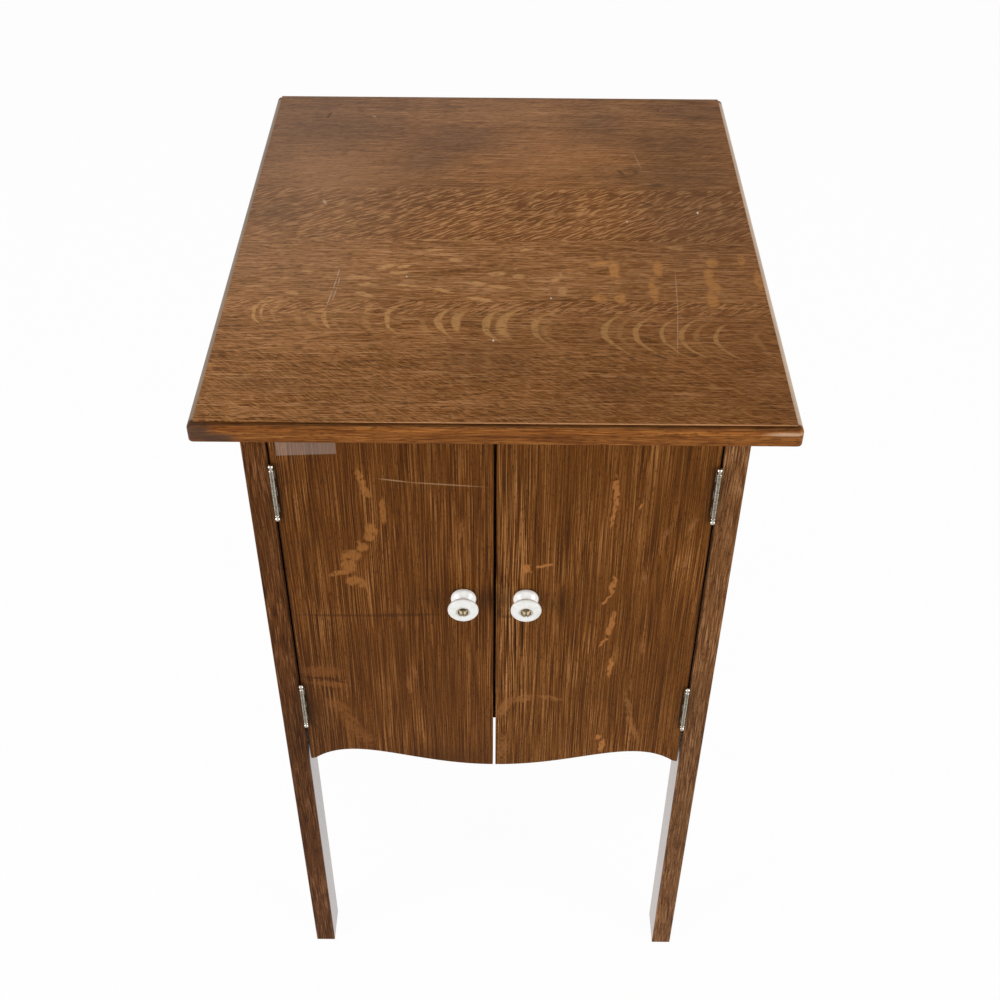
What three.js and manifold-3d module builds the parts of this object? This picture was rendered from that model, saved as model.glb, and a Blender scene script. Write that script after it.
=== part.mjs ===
// Oak cabinet for a table gramophone: a moulded top on four straight legs, framed and panelled
// sides, two shaped doors on ball-tipped hinges, and upright record partitions inside.
// Millimetres, +Z up, the doors face -Y. The origin is on the floor under the middle of the top.

import * as THREE from 'three';
import { mergeVertices } from 'three/addons/utils/BufferGeometryUtils.js';
import Module from 'manifold-3d';

const wasm = await Module();
wasm.setup();

// ---------------------------------------------------------------- driving dimensions

// Top
const cabinetHeight = 838;
const topWidth = 502;
const topDepth = 593;
const topThickness = 18;
const overhangSide = 34;
const overhangFront = 34;
const overhangBack = 29;
const mouldFillet = 1.7; // small upright step under the flat of the top
const mouldQuirk = 0.4; // level shelf between that step and the quarter round
const mouldRadius = 4.8; // quarter round
const mouldEase = 0.6; // softened lower arris
const topCornerRadius = 1.5; // plan radius where the flat of the top ends
const lipCornerRadius = 5; // plan radius at the widest line of the moulding

// Legs, which are also the stiles of the side frames
const legThickness = 22;
const legDepth = 40;
const legChamfer = 0.8;

// Rails and panels
const grooveWidth = 8;
const grooveDepth = 8;
const jointFit = 0.3; // clearance round a tenon or a panel in its groove
const sideTopRailHeight = 75;
const sideBottomRailHeight = 64;
const backRailThickness = 20;
const backTopRailHeight = 50;
const backBottomRailHeight = 64;
const frontRailThickness = 18;
const frontRailHeight = 40;
const frontTenonLength = 6;

// Bottom board, its cleats and the rails that hide them
const bottomBoardUnderside = 404;
const bottomBoardThickness = 16;
const bottomRailDrop = 32; // the bottom rails reach this far below the board
const lowerCleatSize = 18;
const upperCleatSize = 15;
const cleatEndGap = 5;
const boardFit = 0.5; // clearance at the edges of the loose boards

// Upright partitions between the bottom board and a grooved board under the front rail
const partitionCount = 5;
const partitionThickness = 6;
const partitionHousing = 4;
const partitionSetBack = 15;
const partitionBackGap = 5;
const partitionHollow = 14; // depth of the curve cut in each front edge
const partitionHollowMargin = 60; // from the ends of the partition to the ends of the curve
const partitionHollowHandle = 36; // length of the curve's handles along the edge
const headBoardThickness = 12;

// Doors
const doorThickness = 20;
const doorHingeGap = 1.6;
const doorMeetingGap = 2.6;
const doorTopGap = 1.6;
const doorStopGap = 1;
const doorEase = 0.6;
const doorTroughHeight = 352.2; // lowest line of the shaped edge, where the doors meet
const doorCrestHeight = 376.2;
const doorCrestInset = 47; // from the hinge edge
const doorLobeHeight = 360;
const doorLobeInset = 3;
const doorLobeRise = 2;
// Lengths of the handles of the two curves that make the shaped edge
const longFallHandles = { crest: 38, trough: 62 };
const shortFallHandles = { crest: 30, lobe: 3 };

// Hinges
const knuckleRadius = 2.2;
const knuckleBore = 1.2;
const knuckleCount = 5;
const knuckleGap = 0.3;
const pinRadius = 1.12;
const hingeLength = 50;
const leafThickness = 1.3;
const leafGap = 1.7; // between the two leaves of a closed hinge
const leafWidth = 16;
const finialRadius = 2.65;
const finialStandOff = 0.35; // from the finials to the faces behind them
const beadRadius = 2.45;
const beadHeight = 1.7;
const beadEase = 0.5;
const neckRadius = 1.7;
const neckHeight = 1.35;
const upperHingeDrop = 81; // middle of the hinge below the top of the door
const lowerHingeRise = 89; // middle of the hinge above the lobe at the foot of the door

// Knobs
const knobHeight = 607;
const knobInset = 27.9; // from the meeting edge of the door
// The turned form from the foot through the neck and the disc to the seat of the bolt, as
// [radius, distance from the door] points
const knobProfile = [
  [9.9, 0], [11.3, 1.1], [11.9, 3], [11.3, 5], [9.7, 6.8], [8, 8.3],
  [7.3, 10], [7.6, 11.9], [9.5, 13.7], [12.7, 15.1],
  [14, 16], [14.35, 17.3], [14, 18.5], [12.7, 19.4], [10, 20.3], [7.4, 20.5], [5.7, 20],
];
const boltRadius = 2;
const boltEase = 0.5;
const boltHeadRadius = 4.9;
const boltHeadHeight = 3.5;
const boltDomeHeight = 1.6; // the rounded part of the head
const boltSlotWidth = 1.2;
const boltSlotDepth = 1.4;
const boltSlotTurn = 36; // degrees from level
const boltClearance = 0.3;
const boltTail = 3; // past the nut
const washerRadius = 7;
const washerThickness = 1.2;
const nutWidth = 9;
const nutThickness = 4;

// Wood screws, named by what they hold
const screwClearance = 0.3;
const screwSink = 0.2; // heads sit this far below the face they are driven into
const screwSlotWidth = 0.6;
const screwSlotDepth = 0.5;
const topScrew = { length: 32, shank: 2.2, head: 4.2 };
const cleatScrew = { length: 28, shank: 1.9, head: 3.6 };
const leafScrew = { length: 12, shank: 1, head: 2.1 };
const topScrewBite = 12; // into the top
const counterboreRadius = 5.5;
const topScrewInset = 70; // from the ends of the rail
const cleatScrewCount = 3;
const cleatScrewInset = 50;
const leafScrewInset = 11; // from the ends of the leaf

// How far a cutter stands out of the face that it cuts
const overrun = 1;

// ---------------------------------------------------------------- worked-out places

const bodyWidth = topWidth - 2 * overhangSide;
const bodyDepth = topDepth - overhangFront - overhangBack;
const legHeight = cabinetHeight - topThickness;
const innerHalf = bodyWidth / 2 - legThickness;
const sideSpan = bodyDepth - 2 * legDepth;
const bottomRailUnderside = bottomBoardUnderside - bottomRailDrop;
const bottomBoardTop = bottomBoardUnderside + bottomBoardThickness;
const frontRailUnderside = legHeight - frontRailHeight;
const headBoardUnderside = frontRailUnderside - headBoardThickness;
const insideFront = doorThickness + doorStopGap;
const insideBack = bodyDepth - backRailThickness;
const doorWidth = innerHalf - doorHingeGap - doorMeetingGap / 2;
const doorTop = legHeight - doorTopGap;
const hingeAxisX = innerHalf - leafThickness - leafGap / 2;
const hingeAxisY = -(finialRadius + finialStandOff);
const hingeEdgeOffset = hingeAxisX - (innerHalf - doorHingeGap); // hinge axis to the door's edge
const hingeHeights = { upper: doorTop - upperHingeDrop, lower: doorLobeHeight + lowerHingeRise };
const sides = { left: -1, right: 1 };

// ---------------------------------------------------------------- materials

const oak = new THREE.MeshStandardMaterial({ color: 0x6e4526, roughness: 0.45, metalness: 0 });
const pineInside = new THREE.MeshStandardMaterial({ color: 0x8a6038, roughness: 0.7, metalness: 0 });
const porcelain = new THREE.MeshStandardMaterial({ color: 0xf2f0ea, roughness: 0.12, metalness: 0 });
const nickel = new THREE.MeshStandardMaterial({ color: 0xb9b5aa, roughness: 0.3, metalness: 1 });
const brass = new THREE.MeshStandardMaterial({ color: 0x8a6a45, roughness: 0.4, metalness: 1 });
const steel = new THREE.MeshStandardMaterial({ color: 0x8c8a86, roughness: 0.4, metalness: 1 });

// ---------------------------------------------------------------- solid helpers

// A closed geometry as a solid that can be cut and joined.
function toSolid(geometry) {
  const bare = geometry.clone();
  bare.deleteAttribute('normal');
  bare.deleteAttribute('uv');
  const merged = mergeVertices(bare, 1e-4);
  return new wasm.Manifold(new wasm.Mesh({
    numProp: 3,
    vertProperties: new Float32Array(merged.attributes.position.array),
    triVerts: new Uint32Array(merged.index.array),
  }));
}

function toGeometry(solid) {
  const mesh = solid.getMesh();
  const geometry = new THREE.BufferGeometry();
  geometry.setAttribute('position', new THREE.BufferAttribute(new Float32Array(mesh.vertProperties), 3));
  geometry.setIndex(new THREE.BufferAttribute(new Uint32Array(mesh.triVerts), 1));
  geometry.computeVertexNormals();
  return geometry;
}

function cut(geometry, cutters) {
  const tools = cutters.map(toSolid);
  return toGeometry(tools.reduce((solid, tool) => solid.subtract(tool), toSolid(geometry)));
}

function join(geometries) {
  const solids = geometries.map(toSolid);
  return toGeometry(solids.reduce((whole, solid) => whole.add(solid)));
}

// A box between two values on each axis, in either order.
function box([x0, x1], [y0, y1], [z0, z1]) {
  const geometry = new THREE.BoxGeometry(Math.abs(x1 - x0), Math.abs(y1 - y0), Math.abs(z1 - z0));
  return geometry.translate((x0 + x1) / 2, (y0 + y1) / 2, (z0 + z1) / 2);
}

// A turned form about +Z from [radius, height] points, which end on the axis or close on themselves.
function turned(points, segments) {
  const profile = points.map(([radius, height]) => new THREE.Vector2(radius, height));
  return new THREE.LatheGeometry(profile, segments).rotateX(Math.PI / 2);
}

function piece(name, geometry, material, position = [0, 0, 0]) {
  const mesh = new THREE.Mesh(geometry, material);
  mesh.name = name;
  mesh.position.set(...position);
  return mesh;
}

// A countersunk wood screw that points down -Z with its head level with z = 0.
function woodScrew({ length, shank, head }, grow = 0) {
  const headDepth = head - shank;
  return turned([
    [0, -length - grow],
    [shank + grow, -length + 2 * shank],
    [shank + grow, -headDepth - grow],
    [head + grow, 0],
    ...(grow > 0 ? [[head + grow, grow]] : []),
    [0, grow],
  ], 8);
}

function screwSlot({ head }) {
  return box(span(0, 3 * head), span(0, screwSlotWidth), [-screwSink - screwSlotDepth, overrun]);
}

// The holes that screws need in the pieces they go into. A place is a function that takes a
// screw from where it is made to where it is driven.
function screwHoles(screw, places) {
  return places.map((place) => place(woodScrew(screw, screwClearance)));
}

// A piece with its screws driven home, their slotted heads a little below its face.
function withScrews(geometry, screw, places) {
  const radius = screw.head + screwSink / 2;
  const well = () => new THREE.CylinderGeometry(radius, radius, overrun + screwSink, 8)
    .rotateX(Math.PI / 2).translate(0, 0, (overrun - screwSink) / 2);
  const sunk = () => woodScrew(screw).translate(0, 0, -screwSink);
  const drilled = cut(geometry, places.map((place) => place(well())));
  const fixed = join([drilled, ...places.map((place) => place(sunk()))]);
  return cut(fixed, places.map((place) => place(screwSlot(screw))));
}

function span(middle, width) {
  return [middle - width / 2, middle + width / 2];
}

// ---------------------------------------------------------------- top

// The edge of the top from the flat down to the underside, as [how far out, height] points.
function edgeProfile() {
  const shoulder = topThickness - mouldFillet;
  const points = [[0, topThickness], [0, shoulder], [mouldQuirk, shoulder]];
  const steps = 6;
  for (let i = 1; i <= steps; i += 1) {
    const angle = (Math.PI / 2) * (i / steps);
    const out = mouldQuirk + mouldRadius * Math.sin(angle);
    points.push([out, shoulder - mouldRadius * (1 - Math.cos(angle))]);
  }
  const lip = mouldQuirk + mouldRadius;
  points.push([lip, mouldEase], [lip - mouldEase, 0]);
  return points;
}

// The plan of the top where its edge stands `out` from the flat. The back edge is square.
function topPlan(out) {
  const lip = mouldQuirk + mouldRadius;
  const radius = topCornerRadius + (lipCornerRadius - topCornerRadius) * (out / lip);
  const halfWidth = topWidth / 2 - lip + out;
  const front = -topDepth / 2 + lip - out;
  const back = topDepth / 2;
  const steps = 4;
  const points = [[halfWidth, back], [-halfWidth, back]];
  for (const side of [-1, 1]) {
    for (let i = 0; i <= steps; i += 1) {
      const turn = (Math.PI / 2) * (i / steps);
      const angle = side < 0 ? Math.PI + turn : 1.5 * Math.PI + turn;
      points.push([
        side * (halfWidth - radius) + radius * Math.cos(angle),
        front + radius + radius * Math.sin(angle),
      ]);
    }
  }
  return points;
}

// Plans stacked from the flat to the underside and skinned into one closed form.
function mouldedTop() {
  const plans = edgeProfile().map(([out, height]) => topPlan(out).map(([x, y]) => [x, y, height]));
  const count = plans[0].length;
  const faces = [];
  for (let row = 0; row + 1 < plans.length; row += 1) {
    for (let i = 0; i < count; i += 1) {
      const next = (i + 1) % count;
      const a = row * count + i;
      const b = row * count + next;
      faces.push(a, a + count, b, b, a + count, b + count);
    }
  }
  const last = (plans.length - 1) * count;
  for (let i = 1; i + 1 < count; i += 1) {
    faces.push(0, i, i + 1);
    faces.push(last, last + i + 1, last + i);
  }
  const geometry = new THREE.BufferGeometry();
  geometry.setAttribute('position', new THREE.Float32BufferAttribute(plans.flat(2), 3));
  geometry.setIndex(faces);
  return geometry;
}

// Places of the screws that hold the top, on the middle lines of the front and back top rails.
function topScrewPlaces() {
  const x = innerHalf - topScrewInset;
  const rows = [insideFront + frontRailThickness / 2, bodyDepth - backRailThickness / 2];
  return rows.flatMap((y) => [[-x, y], [x, y]]);
}

function driveUp([x, y]) {
  const headHeight = legHeight + topScrewBite - topScrew.length;
  return (geometry) => geometry.rotateX(Math.PI).translate(x, y, headHeight);
}

function topBoard() {
  const toBody = overhangFront - topDepth / 2;
  const holes = screwHoles(topScrew, topScrewPlaces().map(driveUp));
  return cut(mouldedTop(), holes.map((hole) => hole.translate(0, toBody, -legHeight)));
}

// ---------------------------------------------------------------- carcass
// Everything below is placed from the front plane of the body, y = 0, with y growing to the back.

const grooveMiddle = bodyWidth / 2 - legThickness / 2;
const tenonThickness = grooveWidth - 2 * jointFit;
const tenonLength = grooveDepth - jointFit;

function chamferedPost(thickness, depth, height, chamfer) {
  const outline = new THREE.Shape();
  const [x, y, c] = [thickness / 2, depth / 2, chamfer];
  outline.moveTo(-x + c, -y).lineTo(x - c, -y).lineTo(x, -y + c).lineTo(x, y - c);
  outline.lineTo(x - c, y).lineTo(-x + c, y).lineTo(-x, y - c).lineTo(-x, -y + c);
  outline.closePath();
  return new THREE.ExtrudeGeometry(outline, { depth: height, bevelEnabled: false });
}

// A leg standing at the middle of its section, with the groove for the side frame.
function leg(side, isFront) {
  const inward = -side;
  const toFrame = isFront ? 1 : -1;
  const cutters = [
    box(
      span(0, grooveWidth),
      [toFrame * (legDepth / 2 - grooveDepth), toFrame * (legDepth / 2 + overrun)],
      [bottomRailUnderside, legHeight + overrun],
    ),
  ];
  if (isFront) {
    const y = insideFront + frontRailThickness / 2 - legDepth / 2;
    cutters.push(box(
      [inward * (legThickness / 2 - frontTenonLength - jointFit), inward * (legThickness / 2 + overrun)],
      span(y, grooveWidth),
      [frontRailUnderside, legHeight + overrun],
    ));
    for (const height of Object.values(hingeHeights)) {
      cutters.push(...screwHoles(leafScrew, leafScrewPlaces(side)).map((hole) => hole.translate(
        side * (hingeAxisX - innerHalf - legThickness / 2),
        hingeAxisY - legDepth / 2,
        height,
      )));
    }
  } else {
    const y = legDepth / 2 - backRailThickness / 2;
    cutters.push(box(
      [inward * (legThickness / 2 - grooveDepth), inward * (legThickness / 2 + overrun)],
      span(y, grooveWidth),
      [bottomRailUnderside, legHeight + overrun],
    ));
  }
  return cut(chamferedPost(legThickness, legDepth, legHeight, legChamfer), cutters);
}

// A rail that runs along `axis`, 'x' or 'y', centred on its length, with stub tenons at both
// ends and a groove for the panel along its top or bottom edge.
function railBlank(axis, length, thickness, height, grooveEdge) {
  const along = span(0, length);
  const alongTenons = span(0, length + 2 * tenonLength);
  const place = (run, across, up) => (axis === 'x' ? box(run, across, up) : box(across, run, up));
  const body = place(along, span(0, thickness), [0, height]);
  const tenons = place(alongTenons, span(0, tenonThickness), [jointFit, height]);
  const edge = grooveEdge === 'top' ? [height - grooveDepth, height + overrun] : [-overrun, grooveDepth];
  const groove = place(span(0, length + 2 * grooveDepth), span(0, grooveWidth), edge);
  return cut(join([body, tenons]), [groove]);
}

function sideRail(height, grooveEdge, side, screwHeights) {
  const blank = railBlank('y', sideSpan, legThickness, height, grooveEdge);
  const holes = screwHeights.flatMap(({ z, size }) => screwHoles(cleatScrew, cleatScrewPlaces(side, size))
    .map((hole) => hole.translate(-side * grooveMiddle, -bodyDepth / 2, z)));
  return cut(blank, holes);
}

function panel(run, height, axis) {
  const length = run + 2 * tenonLength;
  const tall = height + 2 * tenonLength;
  const size = axis === 'x' ? [length, tenonThickness, tall] : [tenonThickness, length, tall];
  return new THREE.BoxGeometry(...size);
}

function frontRail() {
  const body = box(span(0, 2 * innerHalf), span(0, frontRailThickness), [0, frontRailHeight]);
  const tenons = box(
    span(0, 2 * (innerHalf + frontTenonLength)),
    span(0, tenonThickness),
    [jointFit, frontRailHeight],
  );
  return cut(join([body, tenons]), screwPockets(frontRailHeight, 0, frontRailUnderside));
}

function backTopRail() {
  const blank = railBlank('x', 2 * innerHalf, backRailThickness, backTopRailHeight, 'bottom');
  return cut(blank, screwPockets(backTopRailHeight, 1, legHeight - backTopRailHeight));
}

// Counterbored holes for the screws that go up through a rail into the top.
function screwPockets(railHeight, row, railUnderside) {
  const places = topScrewPlaces().slice(2 * row, 2 * row + 2);
  const holes = screwHoles(topScrew, places.map(driveUp));
  const depth = railHeight + topScrewBite - topScrew.length;
  return places.flatMap(([x, y], index) => {
    const bore = new THREE.CylinderGeometry(counterboreRadius, counterboreRadius, depth + overrun, 16);
    return [
      holes[index].translate(0, -y, -railUnderside),
      bore.rotateX(Math.PI / 2).translate(x, 0, (depth - overrun) / 2),
    ];
  });
}

// ---------------------------------------------------------------- boards and partitions

const boardHalf = innerHalf - boardFit;
const boardDepth = insideBack - boardFit - insideFront;
const partitionPitch = (2 * innerHalf + partitionThickness) / (partitionCount + 1);
const partitionFront = insideFront + partitionSetBack;
const partitionBack = insideBack - partitionBackGap;
const partitionBottom = bottomBoardTop - partitionHousing + jointFit;
const partitionTop = headBoardUnderside + partitionHousing - jointFit;

function partitionMiddle(index) {
  return -innerHalf - partitionThickness / 2 + (index + 1) * partitionPitch;
}

// Housings for the partitions, in the face of a board at height z.
function housings(z) {
  return Array.from({ length: partitionCount }, (_, index) => box(
    span(partitionMiddle(index), partitionThickness + 2 * jointFit),
    [partitionFront - jointFit, partitionBack + jointFit],
    z,
  ));
}

function bottomBoard() {
  const board = box([-boardHalf, boardHalf], [insideFront, insideFront + boardDepth],
    [bottomBoardUnderside, bottomBoardTop]);
  return cut(board, housings([bottomBoardTop - partitionHousing, bottomBoardTop + overrun]));
}

function headBoard() {
  const board = box([-boardHalf, boardHalf], [insideFront, insideFront + boardDepth],
    [headBoardUnderside, frontRailUnderside]);
  return cut(board, housings([headBoardUnderside - overrun, headBoardUnderside + partitionHousing]));
}

// A thin upright board whose front edge is hollowed so that a hand reaches the records.
function partition() {
  const depth = partitionBack - partitionFront;
  const height = partitionTop - partitionBottom;
  const outline = new THREE.Shape();
  const start = partitionHollowMargin;
  const handle = start + partitionHollowHandle;
  const pull = (4 / 3) * partitionHollow; // the curve reaches three quarters of the way to its handles
  outline.moveTo(0, 0).lineTo(depth, 0).lineTo(depth, height).lineTo(0, height);
  outline.lineTo(0, height - start);
  outline.bezierCurveTo(pull, height - handle, pull, handle, 0, start);
  outline.closePath();
  const settings = { depth: partitionThickness, bevelEnabled: false, curveSegments: 10 };
  // The outline's x runs to the back and its y runs up.
  return new THREE.ExtrudeGeometry(outline, settings)
    .translate(0, 0, -partitionThickness / 2)
    .rotateX(Math.PI / 2)
    .rotateZ(Math.PI / 2);
}

const cleatLength = sideSpan - 2 * cleatEndGap;
const lowerCleatTop = bottomBoardUnderside;
const upperCleatTop = headBoardUnderside;

// Where the screws of one cleat go, out through it into the side rail, about the height z = 0.
function cleatScrewPlaces(side, size) {
  const start = bodyDepth / 2 - cleatLength / 2 + cleatScrewInset;
  const pitch = (cleatLength - 2 * cleatScrewInset) / (cleatScrewCount - 1);
  return Array.from({ length: cleatScrewCount }, (_, index) => (geometry) => geometry
    .rotateY(-side * Math.PI / 2)
    .translate(side * (innerHalf - size), start + index * pitch, 0));
}

function cleat(side, size) {
  const blank = box(
    [side * (innerHalf - size), side * innerHalf],
    span(bodyDepth / 2, cleatLength),
    span(0, size),
  );
  return withScrews(blank, cleatScrew, cleatScrewPlaces(side, size));
}

// ---------------------------------------------------------------- doors
// A door and what is on it are placed from its hinge axis, with u running to the meeting edge.

// The shaped slab: a lobe by the hinge edge, a crest, and a long fall to the meeting edge.
function doorOutline(side) {
  const shape = new THREE.Shape();
  const x = (u) => -side * (u + hingeEdgeOffset);
  const crest = doorCrestInset;
  shape.moveTo(x(0), doorTop);
  shape.lineTo(x(0), doorLobeHeight + doorLobeRise);
  shape.quadraticCurveTo(x(0), doorLobeHeight, x(doorLobeInset), doorLobeHeight);
  shape.bezierCurveTo(x(doorLobeInset + shortFallHandles.lobe), doorLobeHeight,
    x(crest - shortFallHandles.crest), doorCrestHeight, x(crest), doorCrestHeight);
  shape.bezierCurveTo(x(crest + longFallHandles.crest), doorCrestHeight,
    x(doorWidth - longFallHandles.trough), doorTroughHeight, x(doorWidth), doorTroughHeight);
  shape.lineTo(x(doorWidth), doorTop);
  shape.closePath();
  return shape;
}

function doorSlab(side) {
  const settings = {
    depth: doorThickness - 2 * doorEase,
    bevelThickness: doorEase,
    bevelSize: doorEase,
    bevelOffset: -doorEase,
    bevelSegments: 1,
    curveSegments: 10,
  };
  const slab = new THREE.ExtrudeGeometry(doorOutline(side), settings)
    .rotateX(Math.PI / 2)
    .translate(0, doorThickness - doorEase - hingeAxisY, 0);
  const cutters = [boltHole(side)];
  for (const height of Object.values(hingeHeights)) {
    cutters.push(box(
      [side * knuckleRadius, -side * (leafThickness + leafGap / 2)],
      [-hingeAxisY - overrun, -hingeAxisY + leafWidth + jointFit],
      span(height, hingeLength + 2 * jointFit),
    ));
    cutters.push(...screwHoles(leafScrew, leafScrewPlaces(-side))
      .map((hole) => hole.translate(0, 0, height)));
  }
  return cut(slab, cutters);
}

// ---------------------------------------------------------------- hinges
// A hinge is made about its pin, with y = -hingeAxisY on the face of the door.

// Where the screws of one leaf go. `toward` is the way they point: into the leg or the door.
function leafScrewPlaces(toward) {
  const y = -hingeAxisY + leafWidth / 2;
  const offset = hingeLength / 2 - leafScrewInset;
  return [-offset, offset].map((z) => (geometry) => geometry
    .rotateY(-toward * Math.PI / 2)
    .translate(toward * leafGap / 2, y, z));
}

function leafWithKnuckles(side, isFrame) {
  const toward = isFrame ? side : -side;
  const pitch = hingeLength / knuckleCount;
  const plate = box(
    [toward * leafGap / 2, toward * (leafGap / 2 + leafThickness)],
    [0, -hingeAxisY + leafWidth],
    span(0, hingeLength),
  );
  const parts = [];
  const cutters = [];
  for (let index = 0; index < knuckleCount; index += 1) {
    const z = -hingeLength / 2 + (index + 0.5) * pitch;
    const isOwn = (index % 2 === 0) === isFrame;
    if (isOwn) {
      const barrel = new THREE.CylinderGeometry(knuckleRadius, knuckleRadius, pitch - knuckleGap, 16);
      parts.push(barrel.rotateX(Math.PI / 2).translate(0, 0, z));
    } else {
      const reach = knuckleRadius + knuckleGap;
      cutters.push(box([-reach, reach], [-reach, reach], span(z, pitch + knuckleGap)));
    }
  }
  const bore = new THREE.CylinderGeometry(knuckleBore, knuckleBore, hingeLength + 2 * overrun, 12);
  const leaf = cut(join([cut(plate, cutters), ...parts]), [bore.rotateX(Math.PI / 2)]);
  return withScrews(leaf, leafScrew, leafScrewPlaces(toward));
}

// The pin with its bead, neck and ball at both ends.
function hingePin() {
  const end = (sign) => {
    const base = hingeLength / 2 + knuckleGap / 2;
    const neckTop = base + beadHeight + neckHeight;
    const points = [
      [pinRadius, base],
      [beadRadius - beadEase, base],
      [beadRadius, base + beadHeight / 2],
      [beadRadius - beadEase, base + beadHeight],
      [neckRadius, base + beadHeight],
      [neckRadius, neckTop],
    ];
    const steps = 5;
    const first = Math.asin(neckRadius / finialRadius);
    const ballMiddle = neckTop + finialRadius * Math.cos(first);
    for (let i = 1; i <= steps; i += 1) {
      const angle = first + (Math.PI - first) * (i / steps);
      const radius = i === steps ? 0 : finialRadius * Math.sin(angle);
      points.push([radius, ballMiddle - finialRadius * Math.cos(angle)]);
    }
    return points.map(([radius, height]) => [radius, sign * height]);
  };
  return turned([...end(-1).reverse(), ...end(1)], 12);
}

// ---------------------------------------------------------------- knobs
// A knob and its bolt are made with z running out of the face of the door.

function outOfDoor(geometry) {
  return geometry.rotateX(Math.PI / 2);
}

function knobBody() {
  const bore = boltRadius + boltClearance;
  return turned([[bore, 0], ...knobProfile, [bore, boltSeat], [bore, 0]], 26);
}

const boltSeat = knobProfile.at(-1)[1];
// Length of the bolt behind the knob: door, washer, nut and tail.
const boltReach = doorThickness + washerThickness + nutThickness + boltTail;

function knobBolt() {
  const top = boltSeat + boltHeadHeight;
  const dome = [];
  const steps = 4;
  for (let i = 0; i <= steps; i += 1) {
    const angle = (Math.PI / 2) * (i / steps);
    const radius = i === steps ? 0 : boltHeadRadius * Math.cos(angle);
    dome.push([radius, top - boltDomeHeight * (1 - Math.sin(angle))]);
  }
  const body = turned([
    [0, -boltReach],
    [boltRadius - boltEase, -boltReach],
    [boltRadius, -boltReach + boltEase],
    [boltRadius, boltSeat],
    [boltHeadRadius, boltSeat],
    ...dome,
  ], 20);
  const floor = top - boltSlotDepth;
  const slot = box(span(0, 3 * boltHeadRadius), span(0, boltSlotWidth), [floor, top + overrun]);
  return cut(body, [slot.rotateZ(THREE.MathUtils.degToRad(boltSlotTurn))]);
}

function boltHole(side) {
  const radius = boltRadius + boltClearance;
  return new THREE.CylinderGeometry(radius, radius, doorThickness + 2 * overrun, 16)
    .translate(knobOffset(side), doorThickness / 2 - hingeAxisY, knobHeight);
}

function knobOffset(side) {
  return -side * (hingeEdgeOffset + doorWidth - knobInset);
}

function washer() {
  const bore = boltRadius + boltClearance;
  return turned([
    [bore, 0],
    [washerRadius, 0],
    [washerRadius, washerThickness],
    [bore, washerThickness],
    [bore, 0],
  ], 20);
}

function squareNut() {
  const radius = boltRadius + boltClearance;
  const bore = new THREE.CylinderGeometry(radius, radius, nutThickness + 2 * overrun, 16);
  const blank = box(span(0, nutWidth), span(0, nutWidth), span(0, nutThickness));
  return cut(blank, [bore.rotateX(Math.PI / 2)]).translate(0, 0, nutThickness / 2);
}

// ---------------------------------------------------------------- assembly

const cabinet = new THREE.Group();
const body = new THREE.Group();
body.position.y = overhangFront - topDepth / 2;
cabinet.add(piece('top_board', topBoard(), oak, [0, 0, legHeight]));
cabinet.add(body);

function addSideFrame(name, side) {
  const x = side * grooveMiddle;
  const middleY = bodyDepth / 2;
  body.add(piece(`front_leg_${name}`, leg(side, true), oak, [x, legDepth / 2, 0]));
  body.add(piece(`rear_leg_${name}`, leg(side, false), oak, [x, bodyDepth - legDepth / 2, 0]));

  const topUnderside = legHeight - sideTopRailHeight;
  const upperScrews = { z: upperCleatTop - upperCleatSize / 2 - topUnderside, size: upperCleatSize };
  const lowerScrews = { z: lowerCleatTop - lowerCleatSize / 2 - bottomRailUnderside, size: lowerCleatSize };
  const topRail = sideRail(sideTopRailHeight, 'bottom', side, [upperScrews]);
  const bottomRail = sideRail(sideBottomRailHeight, 'top', side, [lowerScrews]);
  body.add(piece(`side_top_rail_${name}`, topRail, oak, [x, middleY, topUnderside]));
  body.add(piece(`side_bottom_rail_${name}`, bottomRail, oak, [x, middleY, bottomRailUnderside]));

  const panelBottom = bottomRailUnderside + sideBottomRailHeight;
  const panelHeight = topUnderside - panelBottom;
  const place = [x, middleY, panelBottom + panelHeight / 2];
  body.add(piece(`side_panel_${name}`, panel(sideSpan, panelHeight, 'y'), oak, place));
}

function addBack() {
  const y = bodyDepth - backRailThickness / 2;
  const topUnderside = legHeight - backTopRailHeight;
  const bottomRail = railBlank('x', 2 * innerHalf, backRailThickness, backBottomRailHeight, 'top');
  body.add(piece('back_top_rail', backTopRail(), oak, [0, y, topUnderside]));
  body.add(piece('back_bottom_rail', bottomRail, oak, [0, y, bottomRailUnderside]));

  const panelBottom = bottomRailUnderside + backBottomRailHeight;
  const panelHeight = topUnderside - panelBottom;
  const place = [0, y, panelBottom + panelHeight / 2];
  body.add(piece('back_panel', panel(2 * innerHalf, panelHeight, 'x'), oak, place));
}

function addInside() {
  const railY = insideFront + frontRailThickness / 2;
  body.add(piece('front_top_rail', frontRail(), oak, [0, railY, frontRailUnderside]));
  body.add(piece('bottom_board', bottomBoard(), oak));
  body.add(piece('partition_head_board', headBoard(), oak));
  for (let index = 0; index < partitionCount; index += 1) {
    const place = [partitionMiddle(index), partitionFront, partitionBottom];
    body.add(piece(`record_partition_${index + 1}`, partition(), pineInside, place));
  }
  for (const [name, side] of Object.entries(sides)) {
    const lowerPlace = [0, 0, lowerCleatTop - lowerCleatSize / 2];
    const upperPlace = [0, 0, upperCleatTop - upperCleatSize / 2];
    body.add(piece(`lower_cleat_${name}`, cleat(side, lowerCleatSize), oak, lowerPlace));
    body.add(piece(`upper_cleat_${name}`, cleat(side, upperCleatSize), oak, upperPlace));
  }
}

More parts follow.
